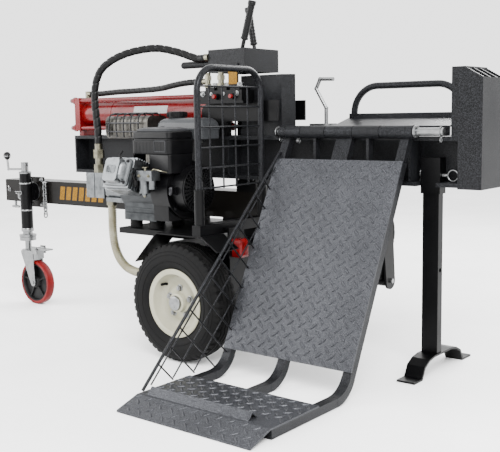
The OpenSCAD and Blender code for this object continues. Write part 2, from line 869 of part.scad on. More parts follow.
module lift_frame() {
    knuckles = [[164, 253], [353, 457], [558, 673]];
    machine() color("#6f7073") difference() {
        union() {
            for (x = arm_xs) lift_arm(x, 30);
            on_lift() {
                box([391, tread_t, -96], [451, arm_back, -14]);
                box([lift_x0, tread_t, -125], [lift_x1, arm_back, -100]);
                box([lift_x0, tread_t, -700], [lift_x1, arm_back, -675]);
                box([lift_cyl_x - 5, tread_t, -lug_s - 28], [lift_cyl_x + 5, lug_t + 28, -110]);
            }
            for (k = knuckles) rod_x(k[0], k[1], pivot_y, pivot_z, hinge_r);
        }
        for (k = knuckles) rod_x(k[0] - 1, k[1] + 1, pivot_y, pivot_z, hinge_pin_r + fit);
        on_lift() rod_x(lift_cyl_x - 20, lift_cyl_x + 20, lug_t, -lug_s, lug_hole_r);
    }
}

module lift_plate() {
    machine() color("#8d8f94") on_lift() box([lift_x0, 0, -763], [lift_x1, tread_t, -99]);
}

module lift_platform() {
    machine() color("#8d8f94") {
        slab_x(lift_x0, lift_x1) polygon([[platform_y1, platform_z], [platform_y1, platform_z + tread_t],
            [platform_y0, platform_z + tread_t], [lip_y, 6], [lip_y, 1], [platform_y0, platform_z]]);
        slab_x(lift_x0 + 30, lift_x1 - 80) polygon([[-812, platform_z + tread_t],
            [-792, platform_z + tread_t + 20], [-772, platform_z + tread_t],
            [-777, platform_z + tread_t], [-792, platform_z + tread_t + 15],
            [-807, platform_z + tread_t]]);
    }
}

rail_top = [-128, 700];
rail_foot = [-806, 38];
rail_dir = unit(rail_foot - rail_top);
rail_len = norm(rail_foot - rail_top);
rail_tilt = atan2(rail_top[0] - rail_foot[0], rail_top[1] - rail_foot[1]);

// Side guard: one stout rail with a mesh of wires between it and the arm
module lift_side_guard() {
    x = lift_x0 + 6;
    depth_at = function (s) min(s * 0.38, (rail_len - s) * 1.02);
    machine() color("#6f7073") difference() {
        translate([0, rail_top[0], rail_top[1]]) rotate([-rail_tilt, 0, 0]) {
            rod_z(-rail_len, 0, x, 0, 5);
            for (k = [1 : 3]) {
                d = k == 1 ? 18 : 18 + (k - 1) * mesh_pitch;
                rod_z(-rail_len + d * 1.0 + 12, -d / 0.36 - 6, x, d, 2.5);
            }
            for (k = [2 : 13]) {
                s = k * mesh_pitch;
                rod_y(0, max(20, depth_at(s) - 9), x + 5.3, -s, 2.5);
            }
        }
        box([x - 20, -1000, -50], [x + 20, 0, platform_z + tread_t + 0.4]);
        on_lift() box([x - 20, -0.3, -764], [x + 20, arm_back, -98]);
    }
}

lug_y = pivot_y - strut_s * sin(lift_lean) + strut_t * cos(lift_lean);
lug_z = pivot_z - strut_s * cos(lift_lean) - strut_t * sin(lift_lean);
strut_len = norm([lug_y - anchor_y, lug_z - anchor_z]);
strut_tilt = atan2(anchor_y - lug_y, lug_z - anchor_z);

// Lift cylinder drawing: base eye at the origin, rod towards +Z
module on_strut() {
    translate([lift_cyl_x, anchor_y, anchor_z]) rotate([strut_tilt, 0, 0]) children();
}

module lift_cylinder() {
    machine() color("#141416") on_strut() difference() {
        union() {
            rod_x(-22, 22, 0, 0, 20);
            rod_z(14, 40, 0, 0, 20);
            rod_z(34, 296, 0, 0, 27);
            rod_y(20, 49, 0, 60, 9);
        }
        rod_x(-23, 23, 0, 0, 8 + fit);
        rod_z(50, 280, 0, 0, 21);
        rod_z(279, 297, 0, 0, 12 + fit);
    }
}

module lift_rod() {
    machine() color("silver") on_strut() {
        rod_z(60, 80, 0, 0, 21 - fit);
        rod_z(79, strut_len - 62, 0, 0, 12);
        box([-16, -13, strut_len - 62], [16, 13, strut_len - 46]);
        for (x = [-16, 7]) {
            box([x, -13, strut_len - 47], [x + 9, 13, strut_len]);
            rod_x(x, x + 9, 0, strut_len, 13);
        }
        rod_x(-16, 16, 0, strut_len, 7);
    }
}

module lift_pivot_pin() {
    machine() color("silver") {
        rod_x(156, 772, pivot_y, pivot_z, hinge_pin_r);
        rod_x(676, 681, pivot_y, pivot_z, 20);
        rod_x(760, 764, pivot_y, pivot_z, 15);
        rod_x(lift_cyl_x - 46, lift_cyl_x + 46, anchor_y, anchor_z, 8);
    }
}

// ---------- jack ----------

jack_plate_y = -tongue_w / 2 - 10;

module jack_tube() {
    machine() color("#232325") difference() {
        union() {
            rod_z(325, 592, jack_x, jack_y, jack_r);
            rod_y(jack_plate_y - 9, jack_plate_y - 1, jack_x, jack_pivot_z, 42);
            box([jack_x - 18, jack_y, 462], [jack_x + 18, jack_plate_y - 8, 538]);
        }
        rod_z(324, 584, jack_x, jack_y, jack_r - 4);
        rod_z(583, 593, jack_x, jack_y, 9 + fit);
        rod_y(jack_plate_y - 9.5, jack_plate_y, jack_x, jack_pivot_z, 12 + fit);
    }
}

module jack_leg() {
    machine() color("#b7b8b8") difference() {
        union() {
            rod_z(308, 540, jack_x, jack_y, jack_r - 4.4);
            rod_z(302, 310, jack_x, jack_y, 38);
            rod_z(290, 303, jack_x, jack_y, 10);
        }
        rod_z(330, 541, jack_x, jack_y, jack_r - 8);
    }
}

module jack_crank() {
    machine() color("#b7b8b8") translate([jack_x, jack_y, 0]) {
        rod_z(360, 606, 0, 0, 9);
        difference() {
            rod_z(594, 634, 0, 0, 16);
            box([-20, -5, 614], [20, 5, 635]);
        }
        bar([-12, 0, 603], [-120, 0, 600], 5);
        translate([-120, 0, 600]) sphere(r = 6.5);
        bar([-120, 0, 600], [-126, 0, 650], 5);
        translate([-126, 0, 662]) sphere(r = 16);
    }
}

module caster_fork() {
    wheel_x = jack_x + caster_trail;
    machine() color("#b7b8b8") difference() {
        union() {
            rod_z(284, 300, jack_x, jack_y, 36);
            rod_z(230, 286, jack_x, jack_y, 14);
            hull() {
                rod_z(226, 242, jack_x, jack_y, 30, $fn = 32);
                box([wheel_x - 22, jack_y - 27, 226], [wheel_x + 10, jack_y + 27, 240]);
            }
            for (s = [-1, 1]) {
                hull() {
                    box([jack_x - 20, jack_y + s * 25 - 2, 228], [wheel_x + 8, jack_y + s * 25 + 2, 238]);
                    rod_y(jack_y + s * 25 - 2, jack_y + s * 25 + 2, wheel_x, caster_r, 16, $fn = 32);
                }
                box([wheel_x, jack_y + s * 25 - 2, 228], [wheel_x + 34, jack_y + s * 25 + 2, 262]);
            }
        }
        rod_z(289, 301, jack_x, jack_y, 10 + fit);
        rod_y(jack_y - 40, jack_y + 40, wheel_x, caster_r, 7.9);
        rod_y(jack_y - 40, jack_y + 40, wheel_x + 24, 250, 4.9);
    }
    machine() color("silver") {
        rod_y(jack_y - 30, jack_y + 30, wheel_x, caster_r, 7.9);
        rod_y(jack_y - 29, jack_y + 29, wheel_x + 24, 250, 4.9);
    }
}

module caster_wheel() {
    machine() color("#8e1414") translate([jack_x + caster_trail, jack_y, caster_r]) rotate([90, 0, 0])
        difference() {
            rotate_extrude($fn = 96) difference() {
                union() {
                    translate([0, -19]) square([caster_r - 6, 38]);
                    translate([caster_r - 10, -15]) square([10, 30]);
                    translate([0, -21]) square([18, 42]);
                }
                translate([24, 6]) square([46, 20]);
                translate([24, -26]) square([46, 20]);
            }
            translate([0, 0, -40]) cylinder(r = 7.9 + fit, h = 80);
        }
}

module caster_brake() {
    pedal_x = jack_x + caster_trail;
    machine() color("#b7b8b8") difference() {
        union() {
            rod_y(jack_y - 21, jack_y + 21, pedal_x + 24, 250, 9);
            box([pedal_x + 24, jack_y - 21, 247], [pedal_x + 92, jack_y + 21, 253]);
            box([pedal_x + 24, jack_y - 18, 206], [pedal_x + 30, jack_y + 18, 250]);
        }
        rod_y(jack_y - 31, jack_y + 31, pedal_x + 24, 250, 4.9 + fit);
    }
}

module hitch_clamp() {
    machine() color("#9b9c9c") {
        rod_z(412, 470, -1455, -20, 6);
        rod_x(-1477, -1433, -20, 418, 6);
        translate([-1477, -20, 418]) sphere(r = 6);
        translate([-1433, -20, 418]) sphere(r = 6);
    }
}

main_beam();
tongue();
chassis_brackets();
axle_tank();
fenders();
tail_lights();
guard_frame();
guard_mesh();
cylinder_barrel();
cylinder_base();
cylinder_gland();
tie_rods();
end_plate();
leg_sleeve();
lift_pivot_pin();
log_table();
hook_rod();
valve_block();
valve_cover();
crankcase();
engine_head();
fan_housing();
air_cleaner();
fuel_tank();
muffler();
carburettor();
engine_tray();
rubber_mounts();
pump();
hydraulic_fittings();
suction_hose();
pressure_hose();
cylinder_hose();
lift_hose();
safety_chains();
tyre_near();
rim_near();
tyre_far();
rim_far();
ram_rod();
wedge();
lift_frame();
lift_plate();
lift_platform();
lift_side_guard();
lift_cylinder();
lift_rod();
split_lever();
lift_lever();
jack_tube();
jack_leg();
jack_crank();
caster_fork();
caster_wheel();
caster_brake();
stand_leg();
stand_pin();
crankshaft();
fuel_cap();
hitch_clamp();
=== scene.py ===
"""Looks for the log splitter: materials, mesh detail, floor, light and camera around the CAD frame."""

import json
import math

import bpy
from mathutils import Matrix, Vector


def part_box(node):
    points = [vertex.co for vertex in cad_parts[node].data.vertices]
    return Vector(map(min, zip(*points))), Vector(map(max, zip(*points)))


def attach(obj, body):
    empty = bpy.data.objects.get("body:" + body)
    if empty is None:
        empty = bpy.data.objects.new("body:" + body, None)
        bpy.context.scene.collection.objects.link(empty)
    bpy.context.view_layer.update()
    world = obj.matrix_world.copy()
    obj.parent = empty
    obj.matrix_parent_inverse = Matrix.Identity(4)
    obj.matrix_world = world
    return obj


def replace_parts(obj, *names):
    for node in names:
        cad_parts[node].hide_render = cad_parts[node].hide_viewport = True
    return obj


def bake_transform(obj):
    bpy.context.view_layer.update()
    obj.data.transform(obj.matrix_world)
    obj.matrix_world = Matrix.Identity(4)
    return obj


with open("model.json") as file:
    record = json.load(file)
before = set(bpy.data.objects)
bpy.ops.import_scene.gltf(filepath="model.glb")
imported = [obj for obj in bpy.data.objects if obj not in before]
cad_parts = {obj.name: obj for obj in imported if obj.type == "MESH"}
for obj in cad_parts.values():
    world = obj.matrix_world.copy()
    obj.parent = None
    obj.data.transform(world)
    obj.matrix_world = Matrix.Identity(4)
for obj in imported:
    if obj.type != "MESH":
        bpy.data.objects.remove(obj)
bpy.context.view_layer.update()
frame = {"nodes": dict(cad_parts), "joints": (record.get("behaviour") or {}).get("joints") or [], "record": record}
nodes = frame["nodes"]
joints = {j["name"]: j for j in frame["joints"]}
MM = 0.001

# ---------------------------------------------------------------- places, taken from the frame


def middle(node):
    low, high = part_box(node)
    return (low + high) / 2


# The design datum: on the ground under the beam's centre line, 884 mm inside the end plate's back.
DATUM = Vector((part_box("end_plate")[1].x - 0.884, middle("cylinder_base").y, 0.0))
PIVOT = Vector(joints["lift_tilt"]["pos_m"])
LEAN = math.radians(26.5)
UP = Vector((0, 0, 1))
ALONG = Vector((1, 0, 0))  # along the beam, towards the end plate
ACROSS = Vector((0, 1, 0))
FRONT = Vector((0, -1, 0))  # towards the lift's side


def at(x, y, z):
    """A place in millimetres from the design datum, as a point in the row frame."""
    return DATUM + Vector((x, y, z)) * MM


def on_lift(x, back, down):
    """A place on the leaning lift: back from its front face and down its slope, in millimetres."""
    y = PIVOT.y + (back * math.cos(LEAN) - down * math.sin(LEAN)) * MM
    z = PIVOT.z - (back * math.sin(LEAN) + down * math.cos(LEAN)) * MM
    return Vector((DATUM.x + x * MM, y, z))


# ---------------------------------------------------------------- camera


CAMERA_PLACE = (1953.8, -2505.3, 822.1)
CAMERA_TURNS = (38.78, 7.21, -0.894)  # yaw, pitch and roll in degrees
CAMERA_LENS = 62.46  # on a sensor 36 mm wide


def add_camera():
    yaw, pitch, roll = (math.radians(a) for a in CAMERA_TURNS)
    view = Vector((-math.sin(yaw) * math.cos(pitch), math.cos(yaw) * math.cos(pitch), -math.sin(pitch)))
    right = Vector((math.cos(yaw), math.sin(yaw), 0))
    down = view.cross(right)
    c, s = math.cos(roll), math.sin(roll)
    side, drop = c * right - s * down, s * right + c * down
    cam = bpy.data.cameras.new("photo_camera")
    cam.lens, cam.sensor_width = CAMERA_LENS, 36.0
    cam.clip_end = 200
    obj = bpy.data.objects.new("photo_camera", cam)
    turn = Matrix((side, -drop, -view)).transposed()
    obj.matrix_world = Matrix.Translation(at(*CAMERA_PLACE)) @ turn.to_4x4()
    bpy.context.scene.collection.objects.link(obj)
    bpy.context.scene.camera = obj


add_camera()

# ---------------------------------------------------------------- materials


# The studio is bright so that its background reads white, and every finish is dimmed to suit.
DIM = 0.4


def rgb(code, dim=DIM):
    """A hex colour as linear RGBA."""
    parts = [int(code[i : i + 2], 16) / 255 for i in (1, 3, 5)]
    return [dim * (((v + 0.055) / 1.055) ** 2.4 if v > 0.04045 else v / 12.92) for v in parts] + [1.0]


class Shade:
    """A node material, built up from a Principled shader in the object's own coordinates."""

    def __init__(self, name, rough, metal=0.0, **sockets):
        self.mat = bpy.data.materials.new(name)
        self.mat.use_nodes = True
        self.tree = self.mat.node_tree
        self.bsdf = self.tree.nodes["Principled BSDF"]
        self.bsdf.inputs["Roughness"].default_value = rough
        self.bsdf.inputs["Metallic"].default_value = metal
        for key, value in sockets.items():
            self.bsdf.inputs[key.replace("_", " ")].default_value = value
        self.coords = self.tree.nodes.new("ShaderNodeTexCoord").outputs["Object"]
        self.normal = None

    def node(self, kind, **props):
        made = self.tree.nodes.new(kind)
        for key, value in props.items():
            setattr(made, key, value)
        return made

    def link(self, a, b):
        self.tree.links.new(a, b)

    def noise(self, scale, detail=4.0, rough=0.6, stretch=None):
        tex = self.node("ShaderNodeTexNoise")
        tex.inputs["Scale"].default_value = scale
        tex.inputs["Detail"].default_value = detail
        tex.inputs["Roughness"].default_value = rough
        source = self.coords
        if stretch:
            mapping = self.node("ShaderNodeMapping")
            mapping.inputs["Scale"].default_value = stretch
            self.link(source, mapping.inputs["Vector"])
            source = mapping.outputs["Vector"]
        self.link(source, tex.inputs["Vector"])
        return tex.outputs["Fac"]

    def ramp(self, value, stops):
        ramp = self.node("ShaderNodeValToRGB")
        band = ramp.color_ramp
        while len(band.elements) < len(stops):
            band.elements.new(0.5)
        for element, (place, colour) in zip(band.elements, stops):
            element.position = place
            element.color = colour
        self.link(value, ramp.inputs["Fac"])
        return ramp.outputs["Color"]

    def bump(self, height, strength, distance):
        bump = self.node("ShaderNodeBump")
        bump.inputs["Strength"].default_value = strength
        bump.inputs["Distance"].default_value = distance
        self.link(height, bump.inputs["Height"])
        if self.normal:
            self.link(self.normal, bump.inputs["Normal"])
        self.normal = bump.outputs["Normal"]

    def rough_from(self, value, low, high):
        span = self.node("ShaderNodeMapRange")
        span.inputs["From Min"].default_value = 0.3
        span.inputs["From Max"].default_value = 0.7
        span.inputs["To Min"].default_value = low
        span.inputs["To Max"].default_value = high
        self.link(value, span.inputs["Value"])
        self.link(span.outputs["Result"], self.bsdf.inputs["Roughness"])

    def done(self, colour):
        if isinstance(colour, list):
            self.bsdf.inputs["Base Color"].default_value = colour
        else:
            self.link(colour, self.bsdf.inputs["Base Color"])
        if self.normal:
            self.link(self.normal, self.bsdf.inputs["Normal"])
        return self.mat


def coated(name, dark, light, rough, speck=900, metal=0.0, bump=0.25, coat=0.0, lumps=260):
    """Powder or hammered coat: fine speckle, a slow tone change and a pebbled surface."""
    s = Shade(name, rough, metal, Coat_Weight=coat, Specular_IOR_Level=0.1)
    grain = s.noise(speck, 2.0, 0.5)
    tone = s.ramp(grain, [(0.44, rgb(dark)), (0.64, rgb(light))])
    slow = s.noise(6, 5.0)
    shade = s.ramp(slow, [(0.35, rgb("#d2d2d2", 1)), (0.65, rgb("#ffffff", 1))])
    blend = s.node("ShaderNodeMix", data_type="RGBA", blend_type="MULTIPLY")
    blend.inputs["Factor"].default_value = 0.6
    s.link(tone, blend.inputs["A"])
    s.link(shade, blend.inputs["B"])
    s.rough_from(slow, rough - 0.06, rough + 0.08)
    s.bump(s.noise(lumps, 2.0, 0.5), bump, 0.0008)
    return s.done(blend.outputs["Result"])


def gloss_paint(name, colour, deep, rough=0.25):
    s = Shade(name, rough, 0.0, Coat_Weight=0.08, Coat_Roughness=0.08, Specular_IOR_Level=0.2)
    slow = s.noise(9, 6.0)
    s.rough_from(s.noise(30, 4.0), rough - 0.05, rough + 0.12)
    s.bump(s.noise(420, 2.0), 0.08, 0.0004)
    return s.done(s.ramp(slow, [(0.3, rgb(deep)), (0.7, rgb(colour))]))


def bare_metal(name, dark, light, rough, grain=None, bump=0.1):
    s = Shade(name, rough, 1.0)
    cloud = s.noise(35, 6.0, 0.7, grain)
    s.rough_from(cloud, rough - 0.08, rough + 0.15)
    s.bump(s.noise(600, 3.0, 0.6, grain), bump, 0.0004)
    return s.done(s.ramp(cloud, [(0.3, rgb(dark)), (0.7, rgb(light))]))


def moulded(name, dark, light, rough, bump=0.2):
    s = Shade(name, rough, Specular_IOR_Level=0.14)
    s.rough_from(s.noise(25, 4.0), rough - 0.08, rough + 0.08)
    s.bump(s.noise(700, 3.0), bump, 0.0005)
    return s.done(s.ramp(s.noise(14, 5.0), [(0.35, rgb(dark)), (0.7, rgb(light))]))


def tyre_rubber():
    s = Shade("tyre_rubber", 0.75, Specular_IOR_Level=0.12)
    dust = s.noise(18, 8.0, 0.7)
    s.bump(s.noise(500, 3.0), 0.25, 0.0006)
    s.rough_from(dust, 0.62, 0.85)
    return s.done(s.ramp(dust, [(0.45, rgb("#0b0b0c")), (0.75, rgb("#1f1e1d"))]))


def clear_hose():
    s = Shade("hose_clear", 0.35, 0.0, Transmission_Weight=0.25, Subsurface_Weight=0.2)
    s.bsdf.inputs["Subsurface Radius"].default_value = (0.01, 0.008, 0.004)
    s.bump(s.noise(300, 2.0), 0.15, 0.0005)
    return s.done(s.ramp(s.noise(20, 4.0), [(0.3, rgb("#a99f78")), (0.7, rgb("#d8d3b4"))]))


def red_lens():
    s = Shade("lens_red", 0.2, 0.0, Coat_Weight=0.1, Specular_IOR_Level=0.2)
    s.bump(s.noise(240, 1.0), 0.12, 0.0006)
    return s.done(s.ramp(s.noise(60, 2.0), [(0.3, rgb("#6f0a0e")), (0.7, rgb("#a3161b"))]))


MATS = {
    "powder_dark": coated("powder_dark", "#0f1011", "#3b3c40", 0.4, 520, bump=0.55, lumps=330),
    "powder_black": coated("powder_black", "#070708", "#131315", 0.36, 500, bump=0.25),
    "tongue_paint": coated("tongue_paint", "#141210", "#221f1c", 0.34, 500, bump=0.12, coat=0.08),
    "hammered": coated("hammered", "#191a1c", "#4a4b4f", 0.3, 420, 0.4, bump=0.6, lumps=380),
    "tread_plate": coated("tread_plate", "#3f4044", "#7d7f85", 0.36, 520, 0.45, bump=0.25, lumps=420),
    "red_paint": gloss_paint("red_paint", "#93070c", "#720409"),
    "zinc": bare_metal("zinc", "#9fa1a3", "#d2d3d3", 0.3),
    "rod_chrome": bare_metal("rod_chrome", "#c4c6c8", "#e6e7e8", 0.12, (1, 14, 14), 0.03),
    "cast_alloy": bare_metal("cast_alloy", "#75787a", "#aeb2b5", 0.34, bump=0.45),
    "tyre_rubber": tyre_rubber(),
    "rim_cream": gloss_paint("rim_cream", "#e2dfc6", "#cdc9ac", 0.35),
    "black_plastic": moulded("black_plastic", "#08080a", "#141416", 0.36),
    "tank_grey": coated("tank_grey", "#4c4e51", "#626467", 0.35, 400, bump=0.15, coat=0.2),
    "muffler_steel": bare_metal("muffler_steel", "#4c4a46", "#8f8c85", 0.38, (3, 1, 1)),
    "hose_rubber": moulded("hose_rubber", "#070708", "#121213", 0.45),
    "hose_clear": clear_hose(),
    "mount_rubber": moulded("mount_rubber", "#0b0b0c", "#161617", 0.7),
    "fitting_brass": bare_metal("fitting_brass", "#8d8873", "#b8b4a0", 0.3),
    "lens_red": red_lens(),
    "caster_red": moulded("caster_red", "#7c0c0e", "#a01517", 0.4),
}
EXTRA = {
    "white_band": coated("white_band", "#d8d8d6", "#f0f0ee", 0.4, 300, bump=0.05),
    "amber": coated("amber", "#9a6d16", "#c08d25", 0.45, 300, bump=0.05),
    "dark_screws": bare_metal("dark_screws", "#3b3b3d", "#606063", 0.35),
    "grey_lid": moulded("grey_lid", "#3a3b3e", "#4c4d50", 0.45),
    "ochre_cap": moulded("ochre_cap", "#8f7424", "#b5953a", 0.5),
    "engine_cast": bare_metal("engine_cast", "#3c3e40", "#66696b", 0.42, bump=0.5),
    "black_core": moulded("black_core", "#101011", "#1c1c1d", 0.5),
}


def dress_frame():
    """Every shown CAD node gets its material, and a small bevel so that its edges catch the light."""
    slots = {p["node"]: p["material_slot"] for p in frame["record"]["subparts"]}
    for name, obj in nodes.items():
        mat = MATS[slots[name]]
        if obj.material_slots:
            for one in obj.material_slots:
                one.material = mat
        else:
            obj.data.materials.append(mat)
        bevel = obj.modifiers.new("edge", "BEVEL")
        bevel.width = 0.0009
        bevel.segments = 2
        bevel.limit_method = "ANGLE"
        bevel.angle_limit = math.radians(50)
        bevel.use_clamp_overlap = True
    for slot in nodes["crankcase"].material_slots:
        slot.material = EXTRA["engine_cast"]


dress_frame()

# ---------------------------------------------------------------- mesh pieces


def smooth_route(points, step):
    """Points about a step apart on a smooth curve through the given ones."""
    pts = [2 * points[0] - points[1]] + list(points) + [2 * points[-1] - points[-2]]
    out = []
    for a, b, c, d in zip(pts, pts[1:], pts[2:], pts[3:]):
        count = max(2, round((c - b).length / step))
        for i in range(count):
            t = i / count
            square, cube = 2 * a - 5 * b + 4 * c - d, 3 * b - a - 3 * c + d
            out.append(0.5 * (2 * b + (c - a) * t + square * t * t + cube * t**3))
    return out + [points[-1]]


def frames_along(points):
    """A direction and two side vectors at each point, without twist."""
    steps = [b - a for a, b in zip(points, points[1:])]
    tangents = [steps[0]] + [a + b for a, b in zip(steps, steps[1:])] + [steps[-1]]
    tangents = [t.normalized() for t in tangents]
    side = tangents[0].orthogonal().normalized()
    out = []
    for t in tangents:
        side = (side - side.dot(t) * t).normalized()
        out.append((t, side, t.cross(side)))
    return out


class Piece:
    """Vertices and faces of one piece, gathered from simple builders and then made into an object."""

    def __init__(self):
        self.verts, self.faces = [], []

    def add(self, verts, faces):
        base = len(self.verts)
        self.verts += [Vector(v) for v in verts]
        self.faces += [[base + i for i in f] for f in faces]

    def grid(self, rows, closed_rows=False):
        """A skin over rings of points with the same count in each, capped unless the rows close."""
        n, k = len(rows), len(rows[0])
        faces = []
        for i in range(n if closed_rows else n - 1):
            for j in range(k):
                a, b = i * k, ((i + 1) % n) * k
                faces.append((a + j, a + (j + 1) % k, b + (j + 1) % k, b + j))
        if not closed_rows:
            faces.append(tuple(reversed(range(k))))
            faces.append(tuple((n - 1) * k + j for j in range(k)))
        self.add([p for row in rows for p in row], faces)

    def tube(self, points, radius, sides=12, wave=None):
        """A round bar along the points, its radius in metres. wave(distance, angle) scales the radius."""
        far, rows = 0.0, []
        for i, (point, (_, u, v)) in enumerate(zip(points, frames_along(points))):
            far += (point - points[i - 1]).length if i else 0.0
            row = []
            for j in range(sides):
                a = 2 * math.pi * j / sides
                r = radius * (wave(far, a) if wave else 1.0)
                row.append(point + r * (math.cos(a) * u + math.sin(a) * v))
            rows.append(row)
        self.grid(rows)

    def turned(self, centre, axis, outline, steps=32, shape=None, ring=False):
        """A lathe shape: outline is (radius, distance along the axis) in millimetres. A ring has no caps."""
        axis = Vector(axis).normalized()
        u = axis.orthogonal().normalized()
        v = axis.cross(u)
        rows = []
        for radius, along in outline:
            row = []
            for j in range(steps):
                a = 2 * math.pi * j / steps
                r = radius + (shape(a, radius, along) if shape else 0.0)
                row.append(centre + MM * (along * axis + r * (math.cos(a) * u + math.sin(a) * v)))
            rows.append(row)
        self.grid(rows, ring)

    def block(self, low, high):
        """A box from its lowest to its highest corner."""
        verts = [(x, y, z) for x in (low.x, high.x) for y in (low.y, high.y) for z in (low.z, high.z)]
        self.add(verts, [(0, 1, 3, 2), (4, 6, 7, 5), (0, 4, 5, 1), (2, 3, 7, 6), (0, 2, 6, 4), (1, 5, 7, 3)])

    def bolt(self, place, axis, across=13.0, height=8.0, washer=True):
        """A hex head on a washer, with a chamfered top."""
        r = across / math.sqrt(3)
        if washer:
            self.turned(place, axis, [(r * 1.25, -1), (r * 1.3, 0), (r * 1.3, 1.2), (r * 1.22, 1.8)], 20)
        self.turned(place, axis, [(r, 0), (r, height * 0.8), (r * 0.86, height)], 6)
        self.turned(place, axis, [(r * 0.5, height - 1), (r * 0.5, height + 2), (r * 0.4, height + 2.6)], 12)

    def make(self, name, material, body, bevel=0.0, sharp=38):
        """Turn the gathered mesh into an object that rides on a body. The bevel is in millimetres."""
        mesh = bpy.data.meshes.new(name)
        mesh.from_pydata([tuple(v) for v in self.verts], [], self.faces)
        mesh.update()
        mesh.polygons.foreach_set("use_smooth", [True] * len(mesh.polygons))
        mesh.set_sharp_from_angle(angle=math.radians(sharp))
        obj = bpy.data.objects.new(name, mesh)
        obj.data.materials.append(material)
        bpy.context.scene.collection.objects.link(obj)
        if bevel:
            soft = obj.modifiers.new("edge", "BEVEL")
            soft.width, soft.segments = bevel * MM, 2
            soft.limit_method, soft.angle_limit = "ANGLE", math.radians(40)
        if body:
            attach(obj, body)
        return obj


# ---------------------------------------------------------------- hoses: routes repeated from the CAD

PRESSURE = [(-176, -95, 1036), (-222, -95, 1036), (-296, -118, 1062), (-365, -150, 1078),
            (-430, -180, 1074), (-490, -205, 1060), (-545, -225, 1036), (-585, -240, 1002),
            (-606, -249, 950), (-612, -250, 890), (-607, -250, 826), (-600, -250, 772), (-600, -250, 726)]
CYLINDER = [(-915, 0, 926), (-866, 0, 926), (-792, -9, 928), (-718, -20, 930), (-640, -32, 930),
            (-570, -42, 931), (-500, -52, 932), (-430, -65, 935), (-370, -80, 941), (-305, -92, 947),
            (-240, -100, 950), (-186, -100, 950)]
LIFT = [(475, 66, 338), (475, 92, 356), (475, 110, 381), (475, 118, 411), (475, 115, 441),
        (475, 102, 469), (475, 91, 482), (475, 70, 502), (475, 59, 515), (475, 49, 533),
        (475, 44, 550), (475, 43, 565), (475, 43, 577)]
SUCTION = [(-556, -232, 490), (-556, -232, 440), (-556, -232, 388), (-545, -234, 334),
           (-516, -240, 289), (-471, -248, 259), (-418, -258, 248), (-356, -274, 248),
           (-296, -290, 248), (-246, -300, 248), (-200, -300, 248)]


def wrap_wave(far, angle):
    """Flat spiral wrap: a wide band with a narrow groove between its turns."""
    phase = (far / 0.034 - angle / (2 * math.pi)) % 1.0
    return 0.76 + 0.24 * min(1.0, 2.2 * math.sin(math.pi * phase) ** 0.8)


def rib_wave(far, angle):
    """Round helical ribs of a suction hose."""
    return 0.94 + 0.06 * math.cos(2 * math.pi * (far / 0.009 - angle / (2 * math.pi)))


def add_hose(name, node, route, radius, wave, step, material):
    """A wrapped or ribbed hose over its CAD node."""
    line = smooth_route([at(*p) for p in route], step)
    piece = Piece()
    piece.tube(line, radius * MM, 20, wave)
    obj = piece.make(name, MATS[material], None if node == "lift_hose" else "frame", sharp=60)
    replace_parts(obj, node)
    return obj


add_hose("pressure_hose_wrap", "pressure_hose", PRESSURE, 14, wrap_wave, 0.0028, "hose_rubber")
add_hose("cylinder_hose_wrap", "cylinder_hose", CYLINDER, 11.5, wrap_wave, 0.0028, "hose_rubber")
lift_hose = add_hose("lift_hose_wrap", "lift_hose", LIFT, 10.5, wrap_wave, 0.0028, "hose_rubber")
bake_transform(lift_hose)
add_hose("suction_hose_ribbed", "suction_hose", SUCTION, 17, rib_wave, 0.0016, "hose_clear")

# ---------------------------------------------------------------- wheels


TYRE_RADIUS, RIM_RADIUS, TYRE_HALF = 203, 117, 57


def tread_depth(angle, radius, along):
    """Ribs and shoulder notches in the tread, as a change of radius."""
    if radius < 188:
        return 0.0
    degrees = math.degrees(angle)
    wiggle = 2.2 * math.sin(math.radians(degrees * 24))
    groove = any(abs(along + wiggle - g) < 2.6 for g in (-24, -8, 8, 24))
    notch = abs(along) > 28 and (degrees % 7.5) < 2.2
    return -6.0 if groove else (-4.5 if notch else 0.0)


def add_tyre(centre, axis, body, node):
    outer = [(RIM_RADIUS + 3, -44), (RIM_RADIUS + 9, -49), (135, -54.5), (155, -TYRE_HALF), (172, -55),
             (186, -49)]
    crown = [(TYRE_RADIUS - 6 + 5.8 * math.cos(math.radians(3.04 * i)), 1.6 * i) for i in range(-27, 28)]
    outline = [(RIM_RADIUS - 15, -40), (RIM_RADIUS - 4, -44)] + outer + crown
    outline += [(r, -a) for r, a in reversed(outer)] + [(RIM_RADIUS - 4, 44), (RIM_RADIUS - 15, 40)]
    tyre = Piece()
    tyre.turned(centre, axis, outline, 384, tread_depth, ring=True)
    for r, wall in ((142, 56.2), (165, 56.2), (176, 53.8)):
        for s in (-1, 1):
            bead = [(r - 1.2, s * (wall - 1)), (r, s * (wall + 0.9)), (r + 1.2, s * (wall - 1))]
            tyre.turned(centre, axis, bead, 96, ring=True)
    obj = tyre.make(node + "_tread", MATS["tyre_rubber"], body, sharp=50)
    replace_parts(obj, node)


def add_rim(centre, axis, body, node):
    rim = Piece()
    inner_lip = [(98, -46), (113, -48.5), (116.5, -47.5), (117, -45), (112, -44), (101.5, -40)]
    well = [(101, -22), (94, -12), (93, 12), (101, 24)]
    outer_lip = [(101.5, 40), (112, 44), (117, 45), (116.5, 47.5), (113, 49), (99, 46)]
    disc = [(96, 36), (90, 17), (84, 11), (66, 8.5), (60, 12), (52, 17), (40, 18.5), (34, 20)]
    hub = [(32, 36), (27, 38.5), (26, 39), (18, 39), (18, -35), (26, -35), (30, -34), (32, -10)]
    disc_back = [(36, 4), (60, 2), (84, 4), (90, -10), (95, -30)]
    outline = inner_lip + well + outer_lip + disc + hub + disc_back
    rim.turned(centre, axis, outline, 96, ring=True)
    obj = rim.make(node + "_disc", MATS["rim_cream"], body, sharp=42)
    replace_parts(obj, node)


